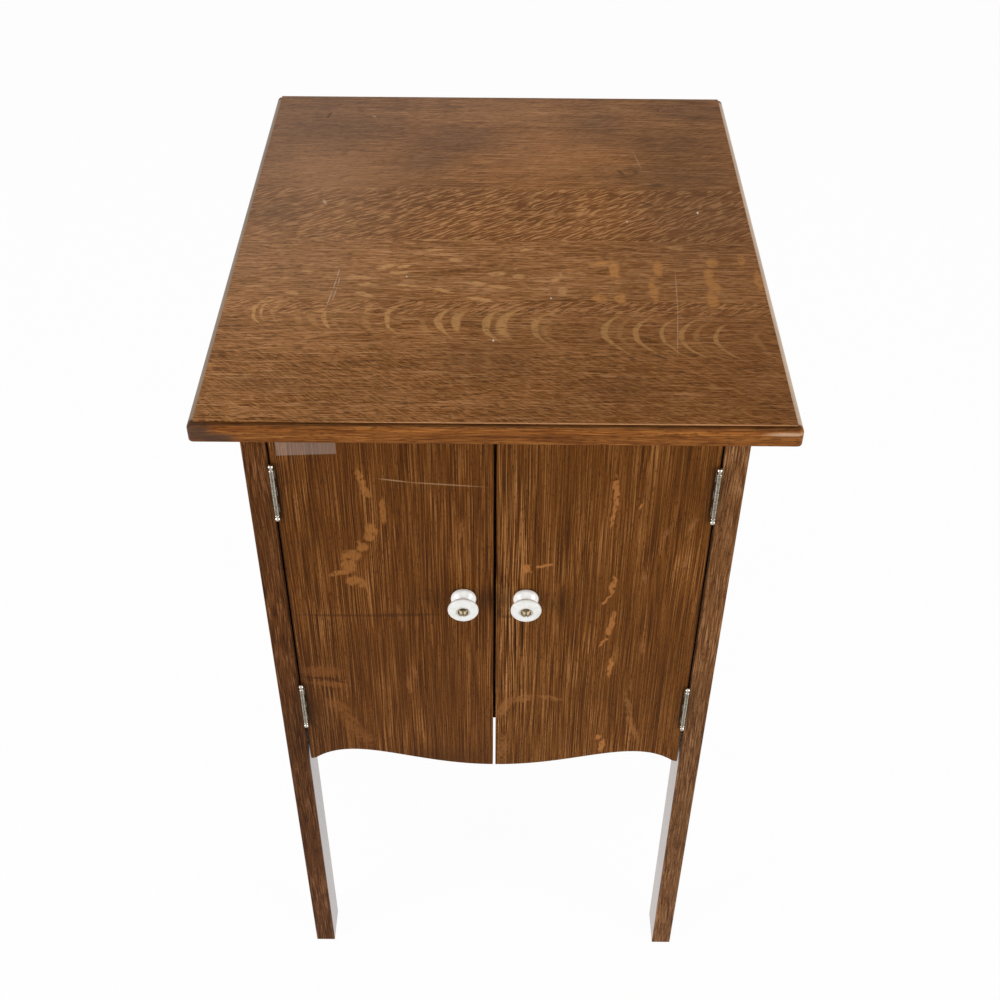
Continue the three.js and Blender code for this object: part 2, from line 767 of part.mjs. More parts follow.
function addTopScrews() {
  const names = ['front_left', 'front_right', 'back_left', 'back_right'];
  topScrewPlaces().forEach((place, index) => {
    const screw = cut(woodScrew(topScrew), [screwSlot(topScrew)]);
    body.add(piece(`top_screw_${names[index]}`, driveUp(place)(screw), steel));
  });
}

function addHinges(name, side, door) {
  for (const [level, height] of Object.entries(hingeHeights)) {
    const axis = [side * hingeAxisX, hingeAxisY, height];
    body.add(piece(`hinge_frame_leaf_${level}_${name}`, leafWithKnuckles(side, true), nickel, axis));
    body.add(piece(`hinge_pin_${level}_${name}`, hingePin(), nickel, axis));
    const doorLeaf = leafWithKnuckles(side, false);
    door.add(piece(`hinge_door_leaf_${level}_${name}`, doorLeaf, nickel, [0, 0, height]));
  }
}

function addKnob(name, side, door) {
  const x = knobOffset(side);
  const face = -hingeAxisY;
  const back = face + doorThickness;
  door.add(piece(`knob_${name}`, outOfDoor(knobBody()), porcelain, [x, face, knobHeight]));
  door.add(piece(`knob_bolt_${name}`, outOfDoor(knobBolt()), brass, [x, face, knobHeight]));
  const washerPlace = [x, back + washerThickness, knobHeight];
  const nutPlace = [x, back + washerThickness + nutThickness, knobHeight];
  door.add(piece(`knob_washer_${name}`, outOfDoor(washer()), steel, washerPlace));
  door.add(piece(`knob_nut_${name}`, outOfDoor(squareNut()), steel, nutPlace));
}

function addDoor(name, side) {
  const door = new THREE.Group();
  door.position.set(side * hingeAxisX, hingeAxisY, 0);
  body.add(door);
  door.add(piece(`door_${name}`, doorSlab(side), oak));
  addHinges(name, side, door);
  addKnob(name, side, door);
}

for (const [name, side] of Object.entries(sides)) {
  addSideFrame(name, side);
}
addBack();
addInside();
addTopScrews();
for (const [name, side] of Object.entries(sides)) {
  addDoor(name, side);
}

export default cabinet;
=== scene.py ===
import math
from functools import partial

import bmesh
import bpy
import numpy as np
from mathutils import Matrix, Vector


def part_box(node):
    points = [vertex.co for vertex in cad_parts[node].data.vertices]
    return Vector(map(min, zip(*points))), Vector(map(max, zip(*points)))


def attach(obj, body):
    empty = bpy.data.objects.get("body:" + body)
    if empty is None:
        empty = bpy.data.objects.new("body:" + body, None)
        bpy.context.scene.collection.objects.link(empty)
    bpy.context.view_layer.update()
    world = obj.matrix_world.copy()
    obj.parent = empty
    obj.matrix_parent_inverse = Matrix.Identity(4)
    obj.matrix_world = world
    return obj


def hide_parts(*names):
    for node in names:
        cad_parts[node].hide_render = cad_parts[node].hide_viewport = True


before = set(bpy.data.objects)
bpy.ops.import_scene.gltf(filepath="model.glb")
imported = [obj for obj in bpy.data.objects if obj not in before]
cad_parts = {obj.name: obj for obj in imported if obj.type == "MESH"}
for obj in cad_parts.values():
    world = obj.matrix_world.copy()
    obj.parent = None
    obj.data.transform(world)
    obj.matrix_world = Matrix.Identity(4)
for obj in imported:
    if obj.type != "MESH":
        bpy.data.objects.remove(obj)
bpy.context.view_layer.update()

# An old oak cabinet for a table gramophone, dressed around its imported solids.
# Metres, +Z up, the doors face -Y. Sizes in the dictionaries are millimetres.

mm = 0.001
sides = {"left": -1, "right": 1}


# Surfaces

def gridQuads(rows, columns, closeColumns=False):
    # four corner numbers for each cell of a grid of points that is stored row by row
    r = np.arange(rows - 1)[:, None]
    c = np.arange(columns if closeColumns else columns - 1)[None, :]
    n = (c + 1) % columns
    corners = [r * columns + c, r * columns + n, (r + 1) * columns + n, (r + 1) * columns + c]
    return np.stack(np.broadcast_arrays(*corners), -1).reshape(-1, 4)


def edgeLines(low, high, arris, step):
    # grid lines on one axis: tan-spaced over each arris, one close behind it, then even steps
    turn = arris * (1 - np.tan(np.linspace(math.pi / 4, 0, 5)))
    flat = np.linspace(low + 1.5 * arris, high - 1.5 * arris, max(2, int((high - low) / step)))
    return np.concatenate([low + turn, flat, (high - turn)[::-1]])


def board(low, high, arris=0.6 * mm, step=15 * mm):
    # rounded board: each point of a gridded box = nearest point of the box shrunk by `arris`,
    # plus `arris` along the way from there to the point
    low, high = np.array(low, float), np.array(high, float)
    lines = [edgeLines(low[k], high[k], arris, step) for k in range(3)]
    patches, quads, count = [], [], 0
    for axis, u, v in ((0, 1, 2), (1, 2, 0), (2, 0, 1)):
        a, b = np.meshgrid(lines[u], lines[v], indexing="ij")
        for face in (low[axis], high[axis]):
            patch = np.empty(a.shape + (3,))
            patch[..., axis], patch[..., u], patch[..., v] = face, a, b
            patches.append(patch.reshape(-1, 3))
            quads.append(gridQuads(*a.shape) + count)
            count += a.size
    points = np.concatenate(patches)
    inner = np.clip(points, low + arris, high - arris)
    away = points - inner
    points = inner + arris * away / np.linalg.norm(away, axis=1, keepdims=True)
    return points, np.concatenate(quads)


def turned(profile, segments):
    # revolve about Z: (r cos a, r sin a, h) for each radius and height pair of the profile
    r, h = np.array(profile, float).T
    a = np.linspace(0, 2 * math.pi, segments, endpoint=False)
    rings = [np.outer(r, np.cos(a)), np.outer(r, np.sin(a)), np.outer(h, np.ones(segments))]
    return np.stack(rings, -1).reshape(-1, 3), gridQuads(len(r), segments, closeColumns=True)


def arc(middle, radius, start, end, steps):
    # points at even angles, in degrees, on a circle
    a = np.radians(np.linspace(start, end, steps))
    return list(zip(middle[0] + radius * np.cos(a), middle[1] + radius * np.sin(a)))


def smoothLine(points, perSpan):
    # Catmull-Rom: each span is the cubic through its ends with half the step across them as slope
    p = np.array(points, float)
    p = np.concatenate([2 * p[:1] - p[1:2], p, 2 * p[-1:] - p[-2:-1]])
    t = np.linspace(0, 1, perSpan, endpoint=False)[None, :, None]
    a, b, c, d = (p[k:len(p) - 3 + k][:, None] for k in range(4))
    line = b + 0.5 * t * (c - a + t * (2 * a - 5 * b + 4 * c - d + t * (3 * (b - c) + d - a)))
    return np.concatenate([line.reshape(-1, p.shape[1]), p[-2:-1]])


def bezier(a, b, c, d, steps=24):
    # cubic Bezier: weights (1-t)^3, 3t(1-t)^2, 3t^2(1-t), t^3 on the four points
    t = np.linspace(0, 1, steps)[:, None]
    a, b, c, d = (np.array(p, float) for p in (a, b, c, d))
    return a * (1 - t) ** 3 + 3 * b * t * (1 - t) ** 2 + 3 * c * t ** 2 * (1 - t) + d * t ** 3


def slottedHead(radius, depth, dome, slotWidth, slotDepth, angle):
    # a screw head: s runs across the slot and v along it, t = v times the half chord at s. The face
    # is dome * (1 - (s^2 + t^2) / r^2), less the slot where |s| is under half its width, and a
    # flat back closes it at -depth
    half = slotWidth / 2
    wall = 0.01 * slotWidth
    s = -radius * np.cos(np.linspace(0, math.pi / 2, 9))[:-1]
    s = np.concatenate([s, [-half - wall, -half + wall]])
    s = np.unique(np.concatenate([s[np.abs(s) >= half - wall], [0]]))
    s = np.concatenate([s, -s[::-1][1:]])
    v = np.sin(np.linspace(-math.pi / 2, math.pi / 2, 15))
    chord = np.sqrt(np.maximum(radius ** 2 - s ** 2, 0))
    t = np.outer(chord, v)
    across = np.repeat(s[:, None], len(v), 1)
    face = dome * (1 - (across ** 2 + t ** 2) / radius ** 2) - slotDepth * (np.abs(across) < half)
    x = np.concatenate([across, across[:, ::-1]], 1)
    y = np.concatenate([t, t[:, ::-1]], 1)
    z = np.concatenate([face, np.full_like(face, -depth)], 1)
    cos, sin = math.cos(math.radians(angle)), math.sin(math.radians(angle))
    points = np.stack([x * cos - y * sin, x * sin + y * cos, z], -1)
    return points.reshape(-1, 3), gridQuads(len(s), 2 * len(v), closeColumns=True)


def placed(shape, place, point="z"):
    # a shape made along +Z in millimetres, pointed along an axis and carried to its place
    ways = {
        "z": ((1, 0, 0), (0, 1, 0), (0, 0, 1)),
        "-y": ((1, 0, 0), (0, 0, 1), (0, -1, 0)),
        "x": ((0, 1, 0), (0, 0, 1), (1, 0, 0)),
        "-x": ((0, -1, 0), (0, 0, 1), (-1, 0, 0)),
    }
    points, quads = shape
    return points @ np.array(ways[point], float) * mm + np.array(place, float), quads


meshing = {"weld": 0.001, "sliver": 0.0005, "sharpDegrees": 38}


def makePiece(name, shapes, finish, body, replaces=None):
    # joins the shapes into one mesh and lets it ride its body
    starts = np.cumsum([0] + [len(shape[0]) for shape in shapes])
    points = np.concatenate([shape[0] for shape in shapes])
    quads = np.concatenate([shape[1] + start for shape, start in zip(shapes, starts)])
    mesh = bpy.data.meshes.new(name)
    mesh.from_pydata(points.tolist(), [], quads.tolist())
    work = bmesh.new()
    work.from_mesh(mesh)
    bmesh.ops.remove_doubles(work, verts=work.verts, dist=meshing["weld"] * mm)
    bmesh.ops.dissolve_degenerate(work, edges=work.edges, dist=meshing["sliver"] * mm)
    bmesh.ops.recalc_face_normals(work, faces=work.faces)
    work.to_mesh(mesh)
    work.free()
    mesh.shade_smooth()
    mesh.set_sharp_from_angle(angle=math.radians(meshing["sharpDegrees"]))
    mesh.materials.append(finish)
    piece = bpy.data.objects.new(name, mesh)
    bpy.context.scene.collection.objects.link(piece)
    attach(piece, body)
    if replaces:
        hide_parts(replaces)
    return piece


# Materials

def linear(hexColour):
    # sRGB to linear: c / 12.92 up to 0.04045, above it ((c + 0.055) / 1.055) ** 2.4
    channels = [int(hexColour[k:k + 2], 16) / 255 for k in (1, 3, 5)]
    return [c / 12.92 if c <= 0.04045 else ((c + 0.055) / 1.055) ** 2.4 for c in channels] + [1.0]


def addNode(tree, kind, inputs=None, stops=None, **settings):
    # a node with its settings. An input is a number, a socket, or a node, meaning its first output
    node = tree.nodes.new("ShaderNode" + kind)
    for key, value in settings.items():
        setattr(node, key, value)
    for key, value in (inputs or {}).items():
        value = value.outputs[0] if isinstance(value, bpy.types.Node) else value
        if isinstance(value, bpy.types.NodeSocket):
            tree.links.new(value, node.inputs[key])
        else:
            node.inputs[key].default_value = value
    if stops:
        ramp = node.color_ramp.elements
        while len(ramp) < len(stops):
            ramp.new(0.5)
        for element, (position, colour) in zip(ramp, stops):
            element.position = position
            element.color = linear(colour) if isinstance(colour, str) else [colour] * 3 + [1.0]
    return node


def startMaterial(name):
    material = bpy.data.materials.new(name)
    material.use_nodes = True
    material.node_tree.nodes.clear()
    return material, partial(addNode, material.node_tree)


def showSurface(add, shader):
    add("OutputMaterial", {"Surface": shader})


def ramped(add, value, start, end, low=0.0, high=1.0):
    return add("MapRange", {
        "Value": value, "From Min": start, "From Max": end, "To Min": low, "To Max": high,
    }, interpolation_type="SMOOTHSTEP")


def product(add, one, other):
    return add("Math", {0: one, 1: other}, operation="MULTIPLY")


def curved(add, x, bend, slope, rest):
    # (bend * x + slope) * x + rest
    rising = add("Math", {0: x, 1: bend, 2: slope}, operation="MULTIPLY_ADD")
    return add("Math", {0: rising, 1: x, 2: rest}, operation="MULTIPLY_ADD")


def mixed(add, amount, below, above, blend="MIX"):
    above = linear(above) if isinstance(above, str) else above
    node = add("Mix", {0: amount, 6: below, 7: above}, data_type="RGBA", blend_type=blend)
    return node.outputs[2]


def noiseAt(add, place, scales, detail):
    spot = add("VectorMath", {0: place, 1: scales}, operation="MULTIPLY")
    return add("TexNoise", {"Vector": spot, "Scale": 1.0, "Detail": detail, "Roughness": 0.5})


def shaken(add, place, scales, amount):
    # a place moved by noise, by up to half of `amount` each way
    drift = noiseAt(add, place, scales, 1.0).outputs["Color"]
    centred = add("VectorMath", {0: drift, 1: (-0.5, -0.5, -0.5)})
    return add("VectorMath", {0: centred, 1: (amount,) * 3, 2: place}, operation="MULTIPLY_ADD")


def blotches(add, flat, spots, soft):
    # nearest of many ellipses (x, y, half width, half height, degrees of tilt if any): the length
    # of the point after it is moved, turned and divided by the half axes; 1 inside and 0 outside
    nearest = 9.0
    for x, y, halfWidth, halfHeight, *tilt in spots:
        spot = add("Mapping", {
            "Vector": flat, "Location": (x, y, 0), "Rotation": (0, 0, math.radians(sum(tilt))),
            "Scale": (halfWidth, halfHeight, 1),
        }, vector_type="TEXTURE")
        reach = add("VectorMath", {0: spot}, operation="LENGTH").outputs["Value"]
        nearest = add("Math", {0: nearest, 1: reach}, operation="MINIMUM")
    return ramped(add, nearest, 1.0 + soft / 2, 1.0 - soft / 2)


def laidOver(add, flat, colour, marks):
    # groups of ellipses of another tint: (amount, tint, softness, ellipses)
    for amount, tint, soft, spots in marks:
        colour = mixed(add, product(add, blotches(add, flat, spots, soft), amount), colour, tint)
    return colour


def stretched(grain, across, along):
    # one over the size of a feature, in millimetres, along and across the grain
    return [1 / along if axis == grain else 1 / across for axis in "xyz"]


def woodGrain(add, look):
    # fields of the wood, all read from object coordinates in millimetres
    rest = add("TexCoord").outputs["Object"]
    point = add("VectorMath", {0: rest, 1: (1000, 1000, 1000)}, operation="MULTIPLY")
    seeded = add("VectorMath", {0: point, 1: [step * look["seed"] for step in (31.7, 17.3, 53.9)]})
    bent = shaken(add, seeded, stretched(look["grain"], 34, 130), look["wander"])
    split = add("SeparateXYZ", {0: point})
    wood = {"bent": bent, "x": split.outputs[0], "y": split.outputs[1], "z": split.outputs[2]}
    # feature size across and along the grain in millimetres, and detail. The reed is drawn a
    # little coarser than the growth rings are
    layers = {
        "reed": (look["reedSize"], look["reedLength"], 3),
        "streak": (3.6, 110, 2),
        "band": (15, 400, 2),
        "pore": (look["reedSize"], look["poreLength"], 1),
        "stain": (75, 110, 3),
    }
    for name, (across, along, detail) in layers.items():
        wood[name] = noiseAt(add, bent, stretched(look["grain"], across, along), detail)
    return wood


def grainTone(add, wood, look, reedShare):
    # a middle tone plus the swing of each layer
    tone = 0.5
    for name, share in (("reed", reedShare), ("streak", look["streak"]), ("band", look["band"])):
        swing = add("Math", {0: wood[name], 1: -0.5}, operation="ADD")
        tone = add("Math", {0: swing, 1: share, 2: tone}, operation="MULTIPLY_ADD")
    return tone


def streakRoughness(add, wood, look):
    # the streaks are a little glossier and duller by turns
    swing = 0.15
    rest = look["rough"] - swing / 2
    return add("Math", {0: wood["streak"], 1: swing, 2: rest}, operation="MULTIPLY_ADD")


def woodShader(add, wood, look, colour, tone, rough, shine):
    stain = ramped(add, wood["stain"], 0.3, 0.7, 1 - look["stain"], 1 + look["stain"])
    colour = mixed(add, 1.0, colour, add("CombineXYZ", {0: stain, 1: stain, 2: stain}), "MULTIPLY")
    bump = add("Bump", {"Height": tone, "Strength": look["bump"], "Distance": 0.06 * mm})
    return add("BsdfPrincipled", {
        "Base Color": colour, "Roughness": rough, "Normal": bump,
        "IOR": 1.5, "Specular IOR Level": shine,
    })


def oakFinish(name, look):
    # Quarter-sawn white oak, fumed or stained and shellacked, then dulled by use: narrow streaks
    # along the grain, golden ray flecks across it, a soft shine and darker open pores
    material, add = startMaterial(name)
    wood = woodGrain(add, look)
    share = ramped(add, wood["stain"], 0.35, 0.65, 0.7 * look["reed"], 1.3 * look["reed"])
    if look.get("coarseStrip"):
        # a strip along the grain where it swings wider
        middle, halfWidth, factor = look["coarseStrip"]
        strip = add("Math", {0: wood["x"], 1: middle}, operation="SUBTRACT")
        strip = add("Math", {0: strip}, operation="ABSOLUTE")
        wider = ramped(add, strip, 1.5 * halfWidth, 0.5 * halfWidth, 1.0, factor)
        share = product(add, share, wider)
    tone = grainTone(add, wood, look, share)
    colour = add("ValToRGB", {0: tone}, stops=look["colours"])
    if look.get("marks"):
        upright = add("CombineXYZ", {0: wood["x"], 1: wood["z"]})
        ragged = shaken(add, upright, *look["ragged"])
        colour = laidOver(add, ragged, colour, look["flecks"])
    pores = ramped(add, wood["pore"], look["poreLimit"], look["poreLimit"] + 0.08)
    colour = mixed(add, product(add, pores, look["pores"]), colour, look["poreColour"])
    if look.get("marks"):
        # scratches, stains and the film of a strip of tape lie on the front face only
        front = ramped(add, wood["y"], *look["frontFrom"])
        marked = laidOver(add, upright, colour, look["marks"])
        colour = mixed(add, front, colour, marked)
    if look.get("tape"):
        # the film is a rectangle that runs up under the top, its foot sloping
        left, right, foot, slope, amount, tint = look["tape"]
        soft = look["tapeEdge"]
        fromLeft = ramped(add, wood["x"], left - soft, left + soft)
        fromRight = ramped(add, wood["x"], right + soft, right - soft)
        height = add("Math", {0: wood["x"], 1: -slope, 2: wood["z"]}, operation="MULTIPLY_ADD")
        fromFoot = ramped(add, height, foot - soft, foot + soft)
        film = product(add, product(add, fromLeft, fromRight), fromFoot)
        colour = mixed(add, product(add, product(add, film, front), amount), colour, tint)
    rough = streakRoughness(add, wood, look)
    shine = look["shine"]
    if look.get("innerFrom"):
        # the faces that look across to the other leg, below the doors, are glossier
        out = add("Math", {0: wood["x"]}, operation="ABSOLUTE")
        glossy = ramped(add, out, *look["innerFrom"])
        glossy = product(add, glossy, ramped(add, wood["z"], *look["innerBelow"]))
        shine = ramped(add, glossy, 0.0, 1.0, shine, look["innerShine"])
    showSurface(add, woodShader(add, wood, look, colour, tone, rough, shine))
    return material


def tones(*colours):
    # the stops of a wood's ramp, from its darkest pores to its palest streaks
    return list(zip((0.0, 0.3, 0.5, 0.7, 1.0), colours))


oakLook = {
    "grain": "z", "seed": 1, "wander": 3, "streak": 0.16, "band": 0.18,
    "reedSize": 0.85, "reedLength": 110, "reed": 1.65, "poreLength": 6,
    "frontFrom": (-261.3, -262.1), "ragged": ((0.12, 0.12, 0.12), 4.5), "tapeEdge": 0.5,
    "colours": tones("#241104", "#48270c", "#623811", "#7e5126", "#a27245"),
    "poreLimit": 0.58, "pores": 0.5, "poreColour": "#2f1707",
    "stain": 0.08, "bump": 0.25, "rough": 0.34, "shine": 0.04,
}

leftDoorColours = tones("#200f04", "#43230a", "#5a320e", "#754921", "#996a3d")
leftDoorLook = dict(oakLook, seed=2, colours=leftDoorColours, coarseStrip=(-178, 22, 1.3), flecks=[
    (0.7, "#8f5c2d", 0.5, [
        (-117, 752, 3.6, 12, 14), (-114, 738, 4.4, 8, 18), (-99.3, 715, 3.2, 16),
        (-111, 691, 5.5, 9, 12), (-113, 684, 5, 6), (-121, 671, 6, 7, 20), (-131, 659, 9, 8, 10),
        (-134, 648, 8, 10, 20), (-142, 637, 11, 3.4, 14), (-131, 627, 8, 6, 30),
        (-124, 624, 5, 8, 20)]),
    (0.45, "#8a5730", 0.8, [(-90, 580, 2.6, 16, 4), (-85, 480, 2.2, 14, 6), (-30, 694, 2.2, 12, -8),
                            (-79, 500, 2.2, 12, 10)]),
    (0.5, "#7f4e26", 0.9, [
        (-172, 500, 20, 8), (-166, 480, 17, 4, -8), (-160, 447, 16, 8, -35), (-146, 418, 8, 24, 22),
        (-134, 396, 8, 14, 30)]),
], marks=[
    (0.55, "#38200c", 1.2, [(-150, 580, 34, 1.6), (-95, 581, 40, 2.2, 2)]),
    (0.6, "#3a1f0b", 0.8, [(-172, 489, 20, 1.2, -4), (-156, 485, 9, 1.1, -20)]),
    (0.35, "#2f1a0b", 1.6, [(-190, 400, 26, 90), (-60, 360, 40, 20, -10)]),
    (0.75, "#1b0e05", 0.9, [
        (-189.5, 738, 1.3, 30), (-189.5, 449, 1.3, 30), (-193.2, 588, 1.0, 250)]),
    (0.45, "#b08b68", 0.9, [(-88, 750.5, 12.5, 0.8, -8), (-45, 746.4, 31, 0.7, -4)]),
], tape=(-187.3, -136, 787.1, 0.0507, 0.3, "#a8968a"))
rightDoorLook = dict(oakLook, seed=5, coarseStrip=(16, 16, 1.55), flecks=[
    (0.85, "#9c6535", 0.4, [
        (106, 740, 2.8, 20, 4), (105, 712, 1.6, 16, -4), (129, 722, 1.5, 5, -20), (30, 643, 5.5, 7),
        (45, 648, 9, 2.2, 14), (110, 624, 3.2, 13, -6), (105, 604, 1.8, 9, -30),
        (111, 570, 3, 20, -8), (105, 545, 2, 8, -35), (114, 508, 2.6, 15, -4), (108, 400, 3, 7),
        (112, 386, 3.5, 11, -8)]),
    (0.6, "#8a5a31", 0.8, [
        (10, 446, 5, 18, -22), (27, 460, 14, 5, 14), (55, 462, 12, 4, -10), (136, 450, 2.6, 22, 12),
        (143, 415, 3, 26, 18), (9, 380, 5, 22)]),
    (0.45, "#8a5a36", 0.9, [
        (144, 538, 2.2, 9), (136, 481, 2.2, 9, 4), (174, 655, 2.2, 9, -12), (153, 689, 2, 8, -14),
        (139, 634, 1.8, 9, 10), (176, 700, 2, 10, -20)]),
], marks=[
    (0.5, "#33190a", 1.0, [(10, 580, 7, 2.5), (5, 585, 3, 6)]),
    (0.75, "#1b0e05", 0.9, [
        (189.5, 738, 1.3, 30), (189.5, 449, 1.3, 30), (193.2, 588, 1.0, 250)]),
])
legColours = tones("#200f03", "#3c200a", "#532f12", "#6f4727", "#926644")
paleLegColours = tones("#2c180a", "#523118", "#6e4726", "#8b6340", "#a9825c")
legLook = dict(
    oakLook, rough=0.15, bump=0.1, reed=1.3, reedSize=1.0, reedLength=30, wander=6,
    innerFrom=(195.7, 195.2), innerBelow=(360, 352), innerShine=0.7, flecks=[])
leftLegLook = dict(legLook, seed=9, colours=legColours, marks=[
    (0.75, "#1b0e05", 0.9, [(-195.2, 588, 1.0, 240)]),
    (0.3, "#241206", 1.6, [(-210, 330, 30, 120)])])
rightLegLook = dict(legLook, seed=12, colours=paleLegColours, marks=[
    (0.75, "#1b0e05", 0.9, [(195.2, 588, 1.0, 240)]),
    (0.25, "#2c1a0d", 1.6, [(210, 330, 30, 140)])])
panelLook = dict(oakLook, reed=0.9, reedLength=240, streak=0.25, wander=5)
sideLook = dict(panelLook, seed=14, grain="y")
backLook = dict(panelLook, seed=21, grain="x")
insideColours = tones("#3a2412", "#5d3f24", "#765434", "#8a6643", "#a07c55")
insideLook = dict(panelLook, seed=30, grain="z", rough=0.55, reed=0.7, colours=insideColours)


def boardsAcross(add, y, look, kind):
    # a value for each strip of the top, front to back. The strips are the boards that it is glued
    # up from, and the back part of the second board, where the figure changes
    reach = -look["strips"][0]
    along = ramped(add, y, -reach, reach)
    along.interpolation_type = "LINEAR"
    starts = [(edge + reach) / (2 * reach) for edge in look["strips"]]
    ramp = add("ValToRGB", {0: along}, stops=list(zip(starts, look[kind + "Strips"])))
    ramp.color_ramp.interpolation = "CONSTANT"
    return ramp


def topFinish(name, look):
    # The same oak on the top, faded and a little grey from light and dusting: boards glued edge to
    # edge, each with its own ray figure, and a darker, glossier moulding round them
    material, add = startMaterial(name)
    wood = woodGrain(add, look)
    flat = add("CombineXYZ", {0: wood["x"], 1: wood["y"]})
    split = add("SeparateXYZ", {0: shaken(add, flat, *look["wavy"])})
    x, y = split.outputs[0], split.outputs[1]
    tone = grainTone(add, wood, look, boardsAcross(add, wood["y"], look, "reed"))
    paler = boardsAcross(add, wood["y"], look, "tone")
    tone = add("Math", {0: tone, 1: paler}, operation="ADD")
    colour = add("ValToRGB", {0: tone}, stops=look["colours"])
    # slanted flecks along lines of equal y - slope x + bend x^2, level dashes, and feathery
    # flecks that fall to the right
    rising = curved(add, x, look["slantBend"], -look["slant"], y)
    falling = curved(add, x, look["slantBend"], look["slant"], y)
    for kind, height in (("slant", rising), ("level", y), ("fall", falling)):
        where = boardsAcross(add, wood["y"], look, kind)
        field = noiseAt(add, add("CombineXYZ", {0: x, 1: height}), look[kind + "Cell"], 1.0)
        limit = look[kind + "Limit"]
        hollows = ramped(add, field, limit - 0.03, limit - 0.1)
        colour = mixed(add, product(add, hollows, where), colour, look["hollowColour"], "MULTIPLY")
        rays = ramped(add, field, limit, limit + 0.06)
        colour = mixed(add, product(add, rays, where), colour, look["rayColour"])

    # bent flecks: ellipses in the place (x - bend (y - middle)^2, y - middle), the middle
    # falling to the right
    middle = add("Math", {0: x, 1: look["arcFall"], 2: look["arcMiddle"]}, operation="MULTIPLY_ADD")
    off = add("Math", {0: y, 1: middle}, operation="SUBTRACT")
    straight = add("CombineXYZ", {0: curved(add, off, -look["arcBend"], 0.0, x), 1: off})
    colour = laidOver(add, straight, colour, look["arcs"])
    colour = laidOver(add, shaken(add, flat, *look["ragged"]), colour, look["flecks"])
    colour = laidOver(add, flat, colour, look["clouds"])
    # a grey haze towards the back left corner and a deeper stain towards the front right one
    corner = add("Math", {0: wood["y"], 1: wood["x"]}, operation="SUBTRACT")
    haze = ramped(add, corner, *look["hazeFrom"], 0.0, look["haze"])
    deep = ramped(add, corner, *look["deepFrom"], 0.0, look["deepen"])
    colour = mixed(add, haze, colour, look["hazeColour"])
    colour = mixed(add, deep, colour, look["deepColour"])
    pores = ramped(add, wood["pore"], look["poreLimit"], look["poreLimit"] + 0.07)
    pores = product(add, pores, boardsAcross(add, wood["y"], look, "pore"))
    colour = mixed(add, pores, colour, look["poreColour"])
    colour = laidOver(add, flat, colour, look["marks"])

    # the moulding, by its share of the thickness: lip, quarter round, dark quirk
    up = add("Math", {0: wood["z"], 1: -look["underside"]}, operation="ADD")
    up = add("Math", {0: up, 1: look["thickness"]}, operation="DIVIDE")
    edge = ramped(add, wood["z"], *look["edgeFrom"])
    edgeTone = grainTone(add, wood, look, look["edgeReed"])
    rich = add("ValToRGB", {0: edgeTone}, stops=look["edgeColours"])
    edgePores = product(add, ramped(add, wood["pore"], 0.58, 0.64), look["edgePores"])
    rich = mixed(add, edgePores, rich, look["poreColour"])
    shade = add("ValToRGB", {0: up}, stops=look["edgeShade"])
    front = ramped(add, wood["y"], *look["frontFrom"])
    # the side mouldings are rubbed pale above the lip
    aboveLip = ramped(add, wood["z"], *look["rubbedFrom"], 0.0, look["rubbed"])
    rubbed = product(add, aboveLip, ramped(add, wood["y"], *look["backFrom"]))
    worn = mixed(add, rubbed, rich, look["sideColour"])
    rich = mixed(add, front, worn, mixed(add, 1.0, rich, shade, "MULTIPLY"))
    upright = add("CombineXYZ", {0: wood["x"], 1: wood["z"]})
    rich = laidOver(add, upright, rich, look["edgeMarks"])
    colour = mixed(add, edge, colour, rich)
    rough = streakRoughness(add, wood, look)
    glossier = look["edgeRough"] - look["rough"]
    rough = add("Math", {0: edge, 1: glossier, 2: rough}, operation="MULTIPLY_ADD")
    showSurface(add, woodShader(add, wood, look, colour, tone, rough, look["shine"]))
    return material


